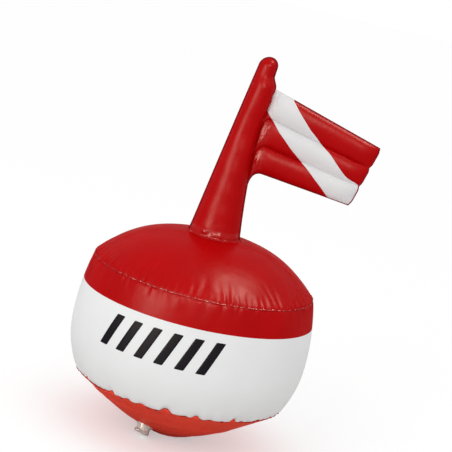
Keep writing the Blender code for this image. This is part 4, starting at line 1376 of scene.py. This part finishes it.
def seen_rays(tree, *others):
    """1 for rays from the camera, through clear vinyl and of the other kinds named, else 0."""
    kinds = add(tree, "ShaderNodeLightPath").outputs
    seen = kinds["Is Camera Ray"]
    for kind in ("Is Transmission Ray", *others):
        larger = add(tree, "ShaderNodeMath", operation="MAXIMUM")
        tree.links.new(seen, larger.inputs[0])
        tree.links.new(kinds[kind], larger.inputs[1])
        seen = larger.outputs[0]
    return seen


def stage():
    corners = [(-1, -1), (1, -1), (1, 1), (-1, 1)]
    data = new_mesh("floor", [(x * FLOOR_SIZE, y * FLOOR_SIZE, 0) for x, y in corners], [(0, 1, 2, 3)])
    floor = new_object("floor", data)
    floor.location.z = -FLOOR_DROP
    made, tree, shader = nodes_of("pale_floor")
    shader.inputs["Base Color"].default_value = (FLOOR_GREY, FLOOR_GREY, FLOOR_GREY, 1)
    shader.inputs["Roughness"].default_value = 0.9
    shader.inputs["Specular IOR Level"].default_value = 0.0
    shader.inputs["Emission Color"].default_value = (1, 1, 1, 1)
    glow = add(tree, "ShaderNodeMath", operation="MULTIPLY")
    glow.inputs[1].default_value = FLOOR_GLOW
    tree.links.new(seen_rays(tree), glow.inputs[0])
    tree.links.new(glow.outputs[0], shader.inputs["Emission Strength"])
    data.materials.append(made)


def light(name, direction, distance, size, power, gloss):
    """A softbox aimed at the buoy's middle. It gives either the gloss or the plain light."""
    data = bpy.data.lights.new(name, "AREA")
    data.shape = "RECTANGLE"
    data.size, data.size_y = size
    data.energy = power
    data.color = GLOSS_TINT if gloss else (1, 1, 1)
    made = new_object(name, data)
    made.visible_glossy = gloss
    made.visible_diffuse = not gloss
    made.visible_camera = False
    out = Vector(direction).normalized()
    made.location = Vector((0, 0, LIGHT_AIM)) + out * distance
    made.rotation_euler = out.to_track_quat("Z", "Y").to_euler()


def world():
    made = bpy.data.worlds.new("studio")
    bpy.context.scene.world = made
    made.use_nodes = True
    tree = made.node_tree
    background = tree.nodes["Background"]
    background.inputs["Color"].default_value = (1, 1, 1, 1)
    level = spread(tree, seen_rays(tree, "Is Glossy Ray"), SKY, 1.0, 0.0, 1.0)
    tree.links.new(level, background.inputs["Strength"])


def camera():
    data = bpy.data.cameras.new("camera")
    data.lens = CAMERA_LENS
    data.sensor_width = 36
    data.clip_start, data.clip_end = 0.05, 100
    made = new_object("camera", data)
    made.location = CAMERA_PLACE
    made.rotation_euler = CAMERA_TURN
    bpy.context.scene.camera = made


stage()
world()
light("tall_left", (-0.64, -0.76, 0.21), 1.4, (0.62, 0.75), 38, True)
light("overhead", (0.365, -0.03, 0.93), 1.2, (0.45, 0.40), 33, True)
light("high_front", (0.10, -0.84, 0.54), 1.4, (0.50, 0.30), 24, True)
light("plain_front", (-0.42, -0.80, 0.42), 1.6, (0.8, 0.8), 5, False)
camera()
bpy.context.scene.view_settings.view_transform = "Standard"
